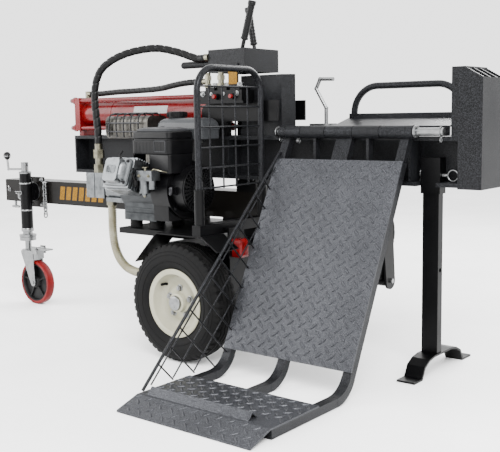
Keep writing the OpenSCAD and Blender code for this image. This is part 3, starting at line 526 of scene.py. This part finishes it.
def add_wheel(side, body, tyre_node, rim_node):
    centre = Vector(joints[body + "_spin"]["pos_m"])
    axis = side * ACROSS
    add_tyre(centre, axis, body, tyre_node)
    add_rim(centre, axis, body, rim_node)
    trim = Piece()
    for k in range(5):
        a = 2 * math.pi * k / 5 + 0.3
        spot = centre + MM * Vector((48 * math.cos(a), side * 17, 48 * math.sin(a)))
        trim.bolt(spot, axis, 17, 10)
    trim.turned(centre, axis, [(25, 36), (25.5, 42), (24, 47), (18, 49.5), (6, 50)], 40)
    trim.make("wheel_nuts_" + body, MATS["zinc"], body, 0.4)
    valve = Piece()
    stem = centre + MM * Vector((-66, side * 10, 55))
    valve.turned(stem, axis, [(6.5, -2), (6, 3), (4.2, 6), (3.8, 20), (4.6, 21), (4.6, 27), (3.6, 28.5)], 20)
    valve.make("valve_stem_" + body, MATS["mount_rubber"], body)


add_wheel(-1, "wheel_near", "tyre_near", "rim_near")
add_wheel(1, "wheel_far", "tyre_far", "rim_far")

# ---------------------------------------------------------------- lift: tread plates

BAR_PITCH = (43.0, 40.0)
BAR_HALF = (14.5, 4.3)  # half of a bar's length and width
# Across a bar: the share of its half width, and its height in millimetres.
BAR_SECTION = ((-1.0, -0.1), (-0.72, 1.9), (-0.35, 3.0), (0.35, 3.0), (0.72, 1.9), (1.0, -0.1))
DECK_LEVEL = 32
DECK_BACK, DECK_LIP, DECK_END = -602, -820, -900
DECK_END_LEVEL = 6


def tread_bars(piece, place, normal, across, x_span, s_span):
    """Raised lens-shaped bars over a flat plate, the ones between turned the other way."""
    stations, (half_long, half_wide) = 9, BAR_HALF
    columns = round((x_span[1] - x_span[0]) / BAR_PITCH[0])
    rows = max(1, round((s_span[1] - s_span[0]) / BAR_PITCH[1]))
    x_gap = (x_span[1] - x_span[0]) / columns
    s_gap = (s_span[1] - s_span[0]) / rows
    k = len(BAR_SECTION)
    for i in range(2 * columns):
        for j in range(2 * rows):
            if (i + j) % 2:
                continue
            cx = x_span[0] + (i + 0.5) * x_gap / 2
            cs = s_span[0] + (j + 0.5) * s_gap / 2
            turn = math.radians(45 if i % 2 else -45)
            verts, faces = [], []
            for a in range(stations):
                along = -1 + 2 * a / (stations - 1)
                wide = max(0.04, math.sqrt(1 - along * along))
                for b, high in BAR_SECTION:
                    p, q = along * half_long, b * half_wide * wide
                    lift = high * min(1.0, 0.15 + wide * 1.3) if high > 0 else high
                    dx = p * math.cos(turn) - q * math.sin(turn)
                    ds = p * math.sin(turn) + q * math.cos(turn)
                    dx = min(max(cx + dx, x_span[0]), x_span[1])
                    ds = min(max(cs + ds, s_span[0]), s_span[1])
                    verts.append(place(dx, ds) + MM * lift * normal)
            for a in range(stations - 1):
                for b in range(k - 1):
                    quad = (a * k + b, a * k + b + 1, (a + 1) * k + b + 1, (a + 1) * k + b)
                    faces.append(quad if across else quad[::-1])
            piece.add(verts, faces)


def add_lift_looks():
    low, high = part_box("lift_plate")
    x0, x1 = (low.x - DATUM.x) / MM, (high.x - DATUM.x) / MM
    out = (on_lift(0, -1, 0) - on_lift(0, 0, 0)).normalized()
    bars = Piece()
    tread_bars(bars, lambda x, s: on_lift(x, 0, s), out, False, (x0 + 2, x1 - 2), (101, 761))
    bars.make("lift_plate_tread", MATS["tread_plate"], "lift", sharp=70)

    deck = Piece()
    tread_bars(deck, lambda x, s: at(x, DECK_BACK - s, DECK_LEVEL), UP, True, (x0 + 2, x1 - 2), (2, 168))
    slope = Vector((0, DECK_END - DECK_LIP, DECK_END_LEVEL - DECK_LEVEL)).normalized()

    def lip(x, s):
        return at(x, DECK_LIP, DECK_LEVEL) + MM * s * slope

    tread_bars(deck, lip, slope.cross(ALONG).normalized(), True, (x0 + 2, x1 - 2), (3, 84))
    deck.make("lift_platform_tread", MATS["tread_plate"], "lift", sharp=70)


add_lift_looks()

# ---------------------------------------------------------------- engine

CRANK_Y, CRANK_Z = -232, 568  # the crankshaft's axis
HEAD_TILT = Matrix.Rotation(math.radians(-20), 3, "X")


def rounded_ring(half_x, half_y, corner, steps=8):
    """Corner points of a rounded rectangle about the origin, in millimetres."""
    pts = []
    for k, (sx, sy) in enumerate(((1, 1), (-1, 1), (-1, -1), (1, -1))):
        for i in range(steps + 1):
            a = math.pi / 2 * (k + i / steps)
            x = sx * (half_x - corner) + corner * math.cos(a)
            pts.append((x, sy * (half_y - corner) + corner * math.sin(a)))
    return pts


def loft(piece, x, y, layers):
    """Rounded rectangles stacked up Z: each layer is (z, half_x, half_y, corner)."""
    rows = [[at(x + a, y + b, z) for a, b in rounded_ring(hx, hy, c)] for z, hx, hy, c in layers]
    piece.grid(rows)


def add_air_cleaner():
    x, y = -226, -280
    case = Piece()
    loft(case, x, y, [(694, 90, 62, 14), (697, 93, 65, 16), (742, 94, 65, 17), (745, 91, 62, 15),
                      (749, 91, 62, 15), (752, 94, 65, 17), (770, 93, 64, 17), (774, 89, 60, 16)])
    for k in range(9):
        left = -300 + k * 17
        case.block(at(left, -345.5, 700), at(left + 7, -342, 738))
    body = case.make("air_cleaner_case", MATS["black_plastic"], "frame", 0.6)
    duct = Piece()
    loft(duct, -185, -284, [(626, 46, 52, 10), (630, 52, 58, 10), (692, 53, 60, 10), (696, 50, 57, 10)])
    duct.make("air_cleaner_duct", MATS["black_plastic"], "frame", 0.6)
    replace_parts(body, "air_cleaner")
    lid = Piece()
    loft(lid, x, y, [(772, 82, 53, 14), (776, 84, 55, 15), (783, 80, 51, 14), (788, 62, 36, 12),
                     (789, 40, 20, 9)])
    lid.make("air_cleaner_lid", EXTRA["grey_lid"], "frame")
    badge = Piece()
    for x0, z0, x1, z1 in ((-206, 703, -150, 706), (-206, 740, -150, 743), (-206, 703, -203, 743),
                           (-153, 703, -150, 743)):
        badge.block(at(x0, -346.8, z0), at(x1, -344, z1))
    badge.turned(at(x, y, 786), UP, [(9, 0), (9, 4), (6, 6), (3, 7)], 6)
    badge.make("air_cleaner_badge", EXTRA["grey_lid"], "frame", 0.5)


def add_recoil_cover():
    grille = Piece()
    for k in range(30):
        a = 2 * math.pi * k / 30
        spoke = Vector((0, math.cos(a), math.sin(a)))
        side = ALONG.cross(spoke)
        rows = []
        for r, wide in ((36, 1.6), (78, 3.0)):
            mid = at(-100.5, CRANK_Y, CRANK_Z) + MM * r * spoke
            rows.append([mid + MM * (p * wide * side + q * ALONG)
                         for p, q in ((1, -3), (1, 1.5), (-1, 1.5), (-1, -3))])
        grille.grid(rows)
    for r in (52, 66, 80):
        section = [(r - 1.8, -1), (r - 1.2, 3), (r + 1.2, 3), (r + 1.8, -1)]
        grille.turned(at(-102, CRANK_Y, CRANK_Z), ALONG, section, 72, ring=True)
    grille.turned(at(-98, CRANK_Y, CRANK_Z), ALONG, [(31, 0), (30, 2), (12, 2.6), (11, 1.4)], 48)
    grille.make("recoil_grille", MATS["black_plastic"], "frame")
    bolts = Piece()
    for k in range(4):
        a = math.radians(45 + 90 * k)
        bolts.bolt(at(-158.5, CRANK_Y + 94 * math.cos(a), CRANK_Z + 94 * math.sin(a)), ALONG, 9, 5)
    bolts.turned(at(-138, CRANK_Y - 104, CRANK_Z - 14), UP, [(6, 0), (8, 3), (8, 24), (6, 28)], 16)
    bolts.make("recoil_grip_bolts", EXTRA["dark_screws"], "frame", 0.3)
    edge = Piece()
    section = [(84.5, -2), (104.6, -1), (104.8, 3), (98, 4)]
    edge.turned(at(-160, CRANK_Y, CRANK_Z), ALONG, section, 96, ring=True)
    edge.make("cowl_edge", MATS["black_plastic"], "frame")


def on_head(x, y, z):
    """A place in millimetres from the crankshaft's axis, tilted with the cylinder head."""
    return at(-325, CRANK_Y, CRANK_Z) + HEAD_TILT @ (Vector((x, y, z)) * MM)


def add_rocker_cover():
    """A stepped lid on the tilted head, with corner bolts and the oil filler beside it."""
    lid = Piece()
    lid.grid([[on_head(a, y, 2 + b) for a, b in reversed(rounded_ring(hx, hz, c))] for y, hx, hz, c in
              ((-186, 58, 48, 12), (-190, 60, 50, 14), (-196, 58, 48, 14), (-199, 46, 37, 18),
               (-214, 42, 33, 18), (-221, 34, 25, 14), (-224, 24, 16, 10))])
    lid.make("rocker_cover", MATS["cast_alloy"], "frame")
    studs = Piece()
    for x in (-48, 48):
        for z in (-36, 40):
            studs.bolt(on_head(x, -196, z), (HEAD_TILT @ FRONT).normalized(), 10, 6)
    for z in (-20, 2, 24):
        studs.turned(on_head(58, -160, z), ALONG, [(4, -1), (4, 3), (3, 4)], 12)
    studs.make("rocker_bolts", EXTRA["dark_screws"], "frame", 0.3)
    plug = Piece()
    plug.turned(on_head(-75, -120, -40), ALONG, [(7, -22), (7, 0), (9, 2), (9, 9), (6, 10)], 20)
    plug.make("oil_cap", EXTRA["ochre_cap"], "frame")


def add_crankcase_ribs():
    cast = Piece()
    for k in range(8):
        a = math.radians(22.5 + 45 * k)
        cast.bolt(at(-418, CRANK_Y + 78 * math.cos(a), CRANK_Z + 78 * math.sin(a)), -ALONG, 9, 6)
    for z in (490, 520, 612, 636):
        cast.block(at(-406, CRANK_Y - 73, z), at(-250, CRANK_Y - 69, z + 7))
    cast.make("crankcase_ribs", EXTRA["engine_cast"], "frame", 0.8)


def add_carburettor_trim():
    carb = Piece()
    carb.bolt(at(-235, -368, 553), -UP, 10, 6, False)
    for x in (-240, -195):
        carb.bolt(at(x, -388, 622), FRONT, 8, 5)
    carb.turned(at(-217, -380, 641), UP, [(5, -2), (5, 8), (12, 9), (12, 12), (4, 13)], 16)
    rod = [(-190, -380, 638), (-170, -384, 646), (-150, -372, 640), (-140, -352, 634)]
    carb.tube(smooth_route([at(*p) for p in rod], 0.004), 0.0025, 8)
    carb.make("carburettor_trim", MATS["fitting_brass"], "frame", 0.3)


def add_fuel_tank():
    tank = Piece()
    loft(tank, -225, -148, [(742, 108, 53, 16), (745, 111, 56, 18), (776, 112, 57, 18), (777, 114, 60, 20),
                            (781, 114, 60, 20), (782, 112, 57, 18), (800, 110, 55, 20), (810, 104, 49, 20),
                            (817, 90, 42, 18), (820, 70, 30, 14)])
    cap_x, cap_y = -276, -150
    tank.turned(at(cap_x, cap_y, 814), UP, [(30, 0), (29, 8), (27, 10), (27, 17), (22, 17), (22, 3)], 40)
    for x in (-310, -265):
        tank.block(at(x, -180, 650), at(x + 20, -150, 744))
    obj = tank.make("fuel_tank_shell", MATS["tank_grey"], "frame", 0.5)
    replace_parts(obj, "fuel_tank")
    ridges = Piece()
    for k in range(24):
        a = 2 * math.pi * k / 24
        spot = at(cap_x + 36 * math.cos(a), cap_y + 36 * math.sin(a), 832)
        ridges.turned(spot, UP, [(2.2, -8), (2.6, -6), (2.6, 6), (1.8, 8)], 8)
    ridges.turned(at(cap_x, cap_y, 842), UP, [(30, -1), (30, 0.8), (24, 2.2), (10, 2.6), (3, 2.6)], 40)
    ridges.make("fuel_cap_grip", MATS["black_plastic"], "tank_cap")


def add_muffler_cage():
    wire = 0.0028
    hoop = [(-228, 752), (-230, 770), (-230, 806), (-222, 832), (-196, 838), (-140, 838), (-112, 832),
            (-106, 806), (-106, 770)]
    cage = Piece()
    for x in (-560, -520, -480, -440, -400):
        cage.tube(smooth_route([at(x, y, z) for y, z in hoop], 0.008), wire, 8)
    for y, z in ((-232.4, 772), (-232.4, 804), (-196, 840.4), (-140, 840.4)):
        cage.tube([at(-572 + 184 * i / 12, y, z) for i in range(13)], wire, 8)
    cage.make("muffler_cage", EXTRA["dark_screws"], "frame")


def add_pump_bolts():
    bolts = Piece()
    for sy in (-1, 1):
        for sz in (-1, 1):
            bolts.bolt(at(-645, CRANK_Y + sy * 38, CRANK_Z + sz * 38), -ALONG, 12, 7)
            bolts.bolt(at(-521, CRANK_Y + sy * 52, CRANK_Z + sz * 30), -ALONG, 10, 6)
    bolts.make("pump_bolts", MATS["zinc"], "frame", 0.3)


def add_spark_lead():
    wires = Piece()
    lead = [(-255, -392, 600), (-268, -402, 640), (-296, -404, 668), (-325, -396, 690), (-338, -372, 706)]
    wires.tube(smooth_route([at(*p) for p in lead], 0.005), 0.0042, 10)
    wires.turned(at(-255, -392, 596), UP, [(7, -12), (9, -8), (9, 4), (6, 10)], 16)
    wires.make("spark_lead", MATS["mount_rubber"], "frame")


add_air_cleaner()
add_recoil_cover()
add_rocker_cover()
add_crankcase_ribs()
add_carburettor_trim()
add_fuel_tank()
add_muffler_cage()
add_pump_bolts()
add_spark_lead()

# ---------------------------------------------------------------- splitting cylinder, beam and levers


CYLINDER_Z = 841


def add_cylinder_looks():
    band = Piece()
    rows = []
    for x in (-606, -602, -424, -420):
        row = []
        for r, turns in ((54.7, range(13)), (53.6, range(12, -1, -1))):
            for i in turns:
                a = math.radians(-2 + 32 * i / 12)
                row.append(at(x, -r * math.cos(a), CYLINDER_Z + r * math.sin(a)))
        rows.append(row)
    band.grid(rows)
    band.make("cylinder_band", EXTRA["white_band"], "frame")
    rings = Piece()
    for x in (-914, -240):
        weld = [(53, -4), (58, -2.5), (58.6, 0), (58, 2.5), (53, 4)]
        rings.turned(at(x, 0, CYLINDER_Z), ALONG, weld, 72, ring=True)
    rings.turned(at(-742, 0, CYLINDER_Z), ALONG, [(53, -2), (55.4, -1), (55.4, 1), (53, 2)], 72, ring=True)
    rings.make("cylinder_weld_rings", MATS["red_paint"], "frame")
    seal = Piece()
    section = [(44, -1), (44, 4), (41, 5.5), (28, 6), (26.3, 4), (26.3, -1)]
    seal.turned(at(-190, 0, CYLINDER_Z), ALONG, section, 64, ring=True)
    seal.make("gland_seal", EXTRA["dark_screws"], "frame")
    nuts = Piece()
    for y in (-57, 57):
        for up in (-57, 57):
            for x, s in ((-972, -1), (-170, 1)):
                nuts.turned(at(x, y, CYLINDER_Z + up), ALONG * s, [(9, -2), (9, 8), (7.6, 10)], 20)
    nuts.make("tie_rod_ends", MATS["zinc"], "frame", 0.2)


def add_beam_looks():
    marks = Piece()
    for x in (-560, -220, 60, 220):
        for up in (612, 737):
            marks.bolt(at(x, -75, up), FRONT, 13, 8)
    for x in (-628, -566, -70, 0):
        marks.bolt(at(x, -44, 597.5), -UP, 13, 8)
    for x in (300, 660):
        marks.bolt(at(x, 84, 770), ACROSS, 13, 8)
    marks.make("beam_bolts", MATS["zinc"], "frame", 0.3)

    def bead(far, angle):
        """The ripple of a weld along its length."""
        return 1 + 0.3 * math.sin(far * 1100)

    seams = Piece()
    for y in (-69, -20, 20, 69):
        seams.tube([at(830, y, 604 + 330 * i / 40) for i in range(41)], 0.003, 8, bead)
    seams.make("end_plate_welds", MATS["powder_dark"], "frame")


def add_lever_looks():
    for body, y, lean, reach in (("lever_split", -71, 17, 222), ("lever_lift", 35, -10, 208)):
        turn = Matrix.Rotation(math.radians(lean), 3, "Y")
        foot = at(-42, y, 1005)
        axis = (turn @ UP).normalized()
        grip = Piece()
        outline = [(7, reach - 132), (13.6, reach - 130), (14, reach - 124), (11.8, reach - 121)]
        for k in range(9):
            base = reach - 119 + k * 12
            outline += [(11.9, base), (12.5, base + 2), (12.5, base + 8), (11.9, base + 10)]
        outline += [(13.6, reach - 9), (14.4, reach - 5), (14.2, reach + 1), (11, reach + 5), (5, reach + 6)]
        grip.turned(foot, axis, outline, 40)
        grip.make(body + "_grip", MATS["black_plastic"], body)
        collar = Piece()
        collar.turned(foot, axis, [(7.4, 40), (9.4, 42), (9.6, 50), (7.4, 53)], 32)
        collar.turned(foot, ACROSS, [(12.6, -11.6), (12.8, -9), (12.8, 9), (12.6, 11.6)], 40)
        collar.make(body + "_collar", MATS["zinc"], body)


def add_valve_looks():
    plugs = Piece()
    for x in (-92, -16):
        plugs.turned(at(x, -148, 893), FRONT, [(8, -2), (8, 7), (6.5, 9)], 20)
    plugs.make("valve_plugs", MATS["red_paint"], "frame")
    caps = Piece()
    for x, y in ((-158, -136.2), (-118, -132.2), (-60, -132.2), (0, -136.2)):
        caps.bolt(at(x, y, 903), FRONT, 13, 7)
    for x in (-129, -71, -13):
        caps.turned(at(x, -100, 927), UP, [(15, -1), (15, 3), (11, 4), (11, 14), (9, 16)], 6)
    caps.make("valve_caps", MATS["zinc"], "frame", 0.3)
    sign = Piece()
    sign.block(at(-62, -107.2, 936), at(-22, -105, 1000))
    sign.make("caution_plate", EXTRA["amber"], "frame", 0.4)


add_cylinder_looks()
add_beam_looks()
add_lever_looks()
add_valve_looks()

# ---------------------------------------------------------------- tongue, jack, chains and pins


LINK_HALF, LINK_WIDE, LINK_WIRE = 13.0, 8.2, 2.7
TONGUE_FACE = -50.4
HINGE_Y = -97
JACK_X, JACK_Y = -1258, -108


def oval_link(piece, centre, long_axis, side):
    """A chain link: two half circles pulled apart along its long axis, as a closed ring of wire."""
    ring, count = [], 20
    for i in range(count):
        a = 2 * math.pi * i / count
        stretch = (LINK_HALF - LINK_WIDE) * (1 if math.cos(a) >= 0 else -1)
        length = LINK_WIDE * math.cos(a) + stretch
        ring.append(centre + MM * (long_axis * length + side * LINK_WIDE * math.sin(a)))
    rows = []
    out = long_axis.cross(side).normalized()
    for i, point in enumerate(ring):
        tangent = (ring[(i + 1) % count] - ring[i - 1]).normalized()
        inner = tangent.cross(out).normalized()
        rows.append([point + MM * LINK_WIRE * (math.cos(t) * inner + math.sin(t) * out)
                     for t in (2 * math.pi * j / 8 for j in range(8))])
    piece.grid(rows, closed_rows=True)


def clip(piece, place, axis, up, size):
    """An R-clip: a round loop between one straight leg and one wavy leg."""
    path = [(8 - 6 * i, 6.0) for i in range(8)][::-1]
    loop = [math.radians(140 - 25 * i) for i in range(1, 12)]
    path += [(14 + 9 * math.cos(a), 9 * math.sin(a)) for a in loop]
    path += [(6 - 5 * i, -4.5 + 3.2 * math.sin(i * 1.3)) for i in range(8)]
    piece.tube([place + MM * size * (axis * x + up * y) for x, y in path], 0.0015, 8)


def add_tongue_looks():
    marks = Piece()
    for x in range(-1095, -840, 42):
        rows = []
        for edge in (x, x + 30):
            corners = ((10, -50.9, 528), (0, -50.9, 470), (0, -49.9, 470), (10, -49.9, 528))
            rows.append([at(edge + lean, y, z) for lean, y, z in corners])
        marks.grid(rows)
    marks.make("tongue_stripes", EXTRA["amber"], "frame")
    bolts = Piece()
    for x, z in ((-1284, 442), (-1206, 442), (-1284, 554), (-1206, 554)):
        bolts.bolt(at(x, -60.3, z), FRONT, 14, 8)
    bolts.bolt(at(-1455, TONGUE_FACE, 500), FRONT, 12, 7)
    for x in (-360, -260):
        bolts.bolt(at(x, TONGUE_FACE, 470), FRONT, 13, 8)
    bolts.make("tongue_bolts", MATS["zinc"], "frame", 0.3)


def add_pin_clips():
    pins = Piece()
    clip(pins, at(JACK_X, -146, 500), ALONG, UP, 0.8)
    pins.make("r_clips", MATS["zinc"], "frame")
    hinge = Piece()
    for x in (152, 682):
        washer = [(12.4, -2), (19, -1.6), (19.4, 0), (19, 1.6), (12.4, 2)]
        hinge.turned(at(x, HINGE_Y, 767), ALONG, washer, 40, ring=True)
    for x in (161, 762):
        clip(hinge, at(x, HINGE_Y, 752), -UP, ACROSS, 0.75)
    hinge.make("hinge_pin_washers", MATS["zinc"], "frame")
    stand = Piece()
    clip(stand, at(660.5, -27, 624), -UP, ACROSS, 0.85)
    stand.make("stand_pin_clip", MATS["zinc"], "frame")


def add_jack_looks():
    jack = Piece()
    jack.turned(at(JACK_X, JACK_Y, 588), UP, [(26.4, -4), (27.5, -2), (27.5, 2), (24, 5), (14, 6)], 40)
    jack.turned(at(JACK_X, JACK_Y, 330), UP, [(26.4, -6), (27.6, -4), (27.6, 6), (26.4, 9)], 40)
    for z in (420, 540):
        jack.turned(at(JACK_X, JACK_Y, z), UP, [(26.3, -3), (27.4, -1.5), (27.4, 1.5), (26.3, 3)], 40)
    jack.turned(at(JACK_X, -66, 500), FRONT, [(42.5, -4), (42.5, 1), (38, 2.5), (20, 3)], 48)
    jack.make("jack_collars", MATS["zinc"], "jack")
    knob = Piece()
    outline = [(4, -20), (9, -16), (14.5, -8), (16.2, 0), (15, 8), (10, 14), (4, 16.4)]
    knob.turned(at(JACK_X - 126, JACK_Y, 662), UP, outline, 32)
    knob.make("jack_knob", MATS["black_plastic"], "jack_handle")


def add_caster_looks():
    caster = Vector(joints["caster_roll"]["pos_m"])
    tread = Piece()
    outline = [(84, -17), (88, -18.4), (94, -18.2), (97, -15), (98, -8), (98.2, 0), (98, 8), (97, 15),
               (94, 18.2), (88, 18.4), (84, 17)]
    tread.turned(caster, ACROSS, outline, 96, ring=True)
    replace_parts(tread.make("caster_tyre", MATS["caster_red"], "caster_roller"), "caster_wheel")
    core = Piece()
    half = [(84.5, 17), (80, 17.5), (77, 14), (75, 5), (28, 4), (24, 17), (22, 18.6), (9, 18.8)]
    outline = [(84.5, -17)] + half + [(r, -a) for r, a in reversed(half[1:])]
    core.turned(caster, ACROSS, outline, 72, ring=True)
    for k in range(5):
        a = 2 * math.pi * k / 5 + 0.4
        spoke = Vector((math.cos(a), 0, math.sin(a)))
        side = ACROSS.cross(spoke)
        rows = []
        for r, wide, deep in ((20, 4, 15), (50, 3, 11), (79, 4, 13)):
            mid = caster + MM * r * spoke
            rows.append([mid + MM * (wide * p * side + deep * q * ACROSS)
                         for p, q in ((-1, -1), (1, -1), (1, 1), (-1, 1))])
        core.grid(rows)
    core.make("caster_core", EXTRA["black_core"], "caster_roller")
    for s in (-1, 1):
        cap = Piece()
        cap.turned(caster, ACROSS * s, [(11, 19), (15, 19.6), (15, 21), (9, 21.6)], 24)
        cap.make("caster_cap_" + ("a" if s > 0 else "b"), MATS["zinc"], "caster")
    balls = Piece()
    for k in range(14):
        a = 2 * math.pi * k / 14
        spot = at(JACK_X, JACK_Y, 293) + MM * 30 * Vector((math.cos(a), math.sin(a), 0))
        balls.turned(spot, UP, [(0.6, -4), (3, -3), (4.2, 0), (3, 3), (0.6, 4)], 12)
    balls.make("caster_balls", MATS["zinc"], "caster")


def add_chain_looks():
    links = Piece()
    for k in range(10):
        side = ALONG if k % 2 == 0 else ACROSS
        oval_link(links, at(-1178, -66, 534 - 15 * k), UP, side)
    lay = Vector((13, 0, -7)).normalized()
    for k in range(4):
        side = lay.cross(ACROSS) if k % 2 == 0 else ACROSS
        oval_link(links, at(-1358 + 13 * k, -66, 470 - 7 * k), lay, side)
    for x, z in ((-1178, 541), (-1358, 477)):
        links.turned(at(x, -50, z), FRONT, [(3.5, -1), (3.5, 20), (6.5, 20.5), (6.5, 24), (4, 25)], 16)
    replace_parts(links.make("chain_links", MATS["zinc"], "frame"), "safety_chains")


add_tongue_looks()
add_pin_clips()
add_jack_looks()
add_caster_looks()
add_chain_looks()

# ---------------------------------------------------------------- floor, light and the end


FLOOR_HALF = 9.0
FLOOR_BELOW = 0.0005  # under the tyres, so that the two never share a plane
WORLD_STRENGTH = 2.6


def add_floor():
    steps = 24
    verts = []
    for i in range(steps + 1):
        y = FLOOR_HALF * (2 * i / steps - 1)
        verts += [Vector((x * FLOOR_HALF, y, -FLOOR_BELOW)) + DATUM for x in (-1, -1 / 3, 1 / 3, 1)]
    faces = [(4 * i + j, 4 * i + j + 1, 4 * i + j + 5, 4 * i + j + 4) for i in range(steps) for j in range(3)]
    mesh = bpy.data.meshes.new("floor")
    mesh.from_pydata([tuple(v) for v in verts], [], faces)
    obj = bpy.data.objects.new("floor", mesh)
    bpy.context.scene.collection.objects.link(obj)
    white = Shade("floor_white", 0.6)
    tone = white.ramp(white.noise(2, 3.0), [(0.3, rgb("#f6f6f6", 1)), (0.7, rgb("#ffffff", 1))])
    obj.data.materials.append(white.done(tone))


def add_light(name, place, aim, size, power):
    light = bpy.data.lights.new(name, "AREA")
    light.shape, light.size, light.size_y = "RECTANGLE", size[0], size[1]
    light.energy = power
    obj = bpy.data.objects.new(name, light)
    obj.location = place
    obj.rotation_euler = (aim - place).to_track_quat("-Z", "Y").to_euler()
    bpy.context.scene.collection.objects.link(obj)


def add_studio():
    world = bpy.context.scene.world or bpy.data.worlds.new("studio")
    bpy.context.scene.world = world
    world.use_nodes = True
    back = world.node_tree.nodes.get("Background")
    back.inputs["Color"].default_value = (1, 1, 1, 1)
    back.inputs["Strength"].default_value = WORLD_STRENGTH
    aim = at(0, -200, 500)
    add_light("key", at(2600, -2600, 3200), aim, (2.4, 2.4), 420)
    add_light("fill", at(-2600, -2400, 1800), aim, (2.5, 2.0), 120)
    add_light("back", at(300, 3000, 2600), aim, (3.0, 1.6), 160)


add_floor()
add_studio()
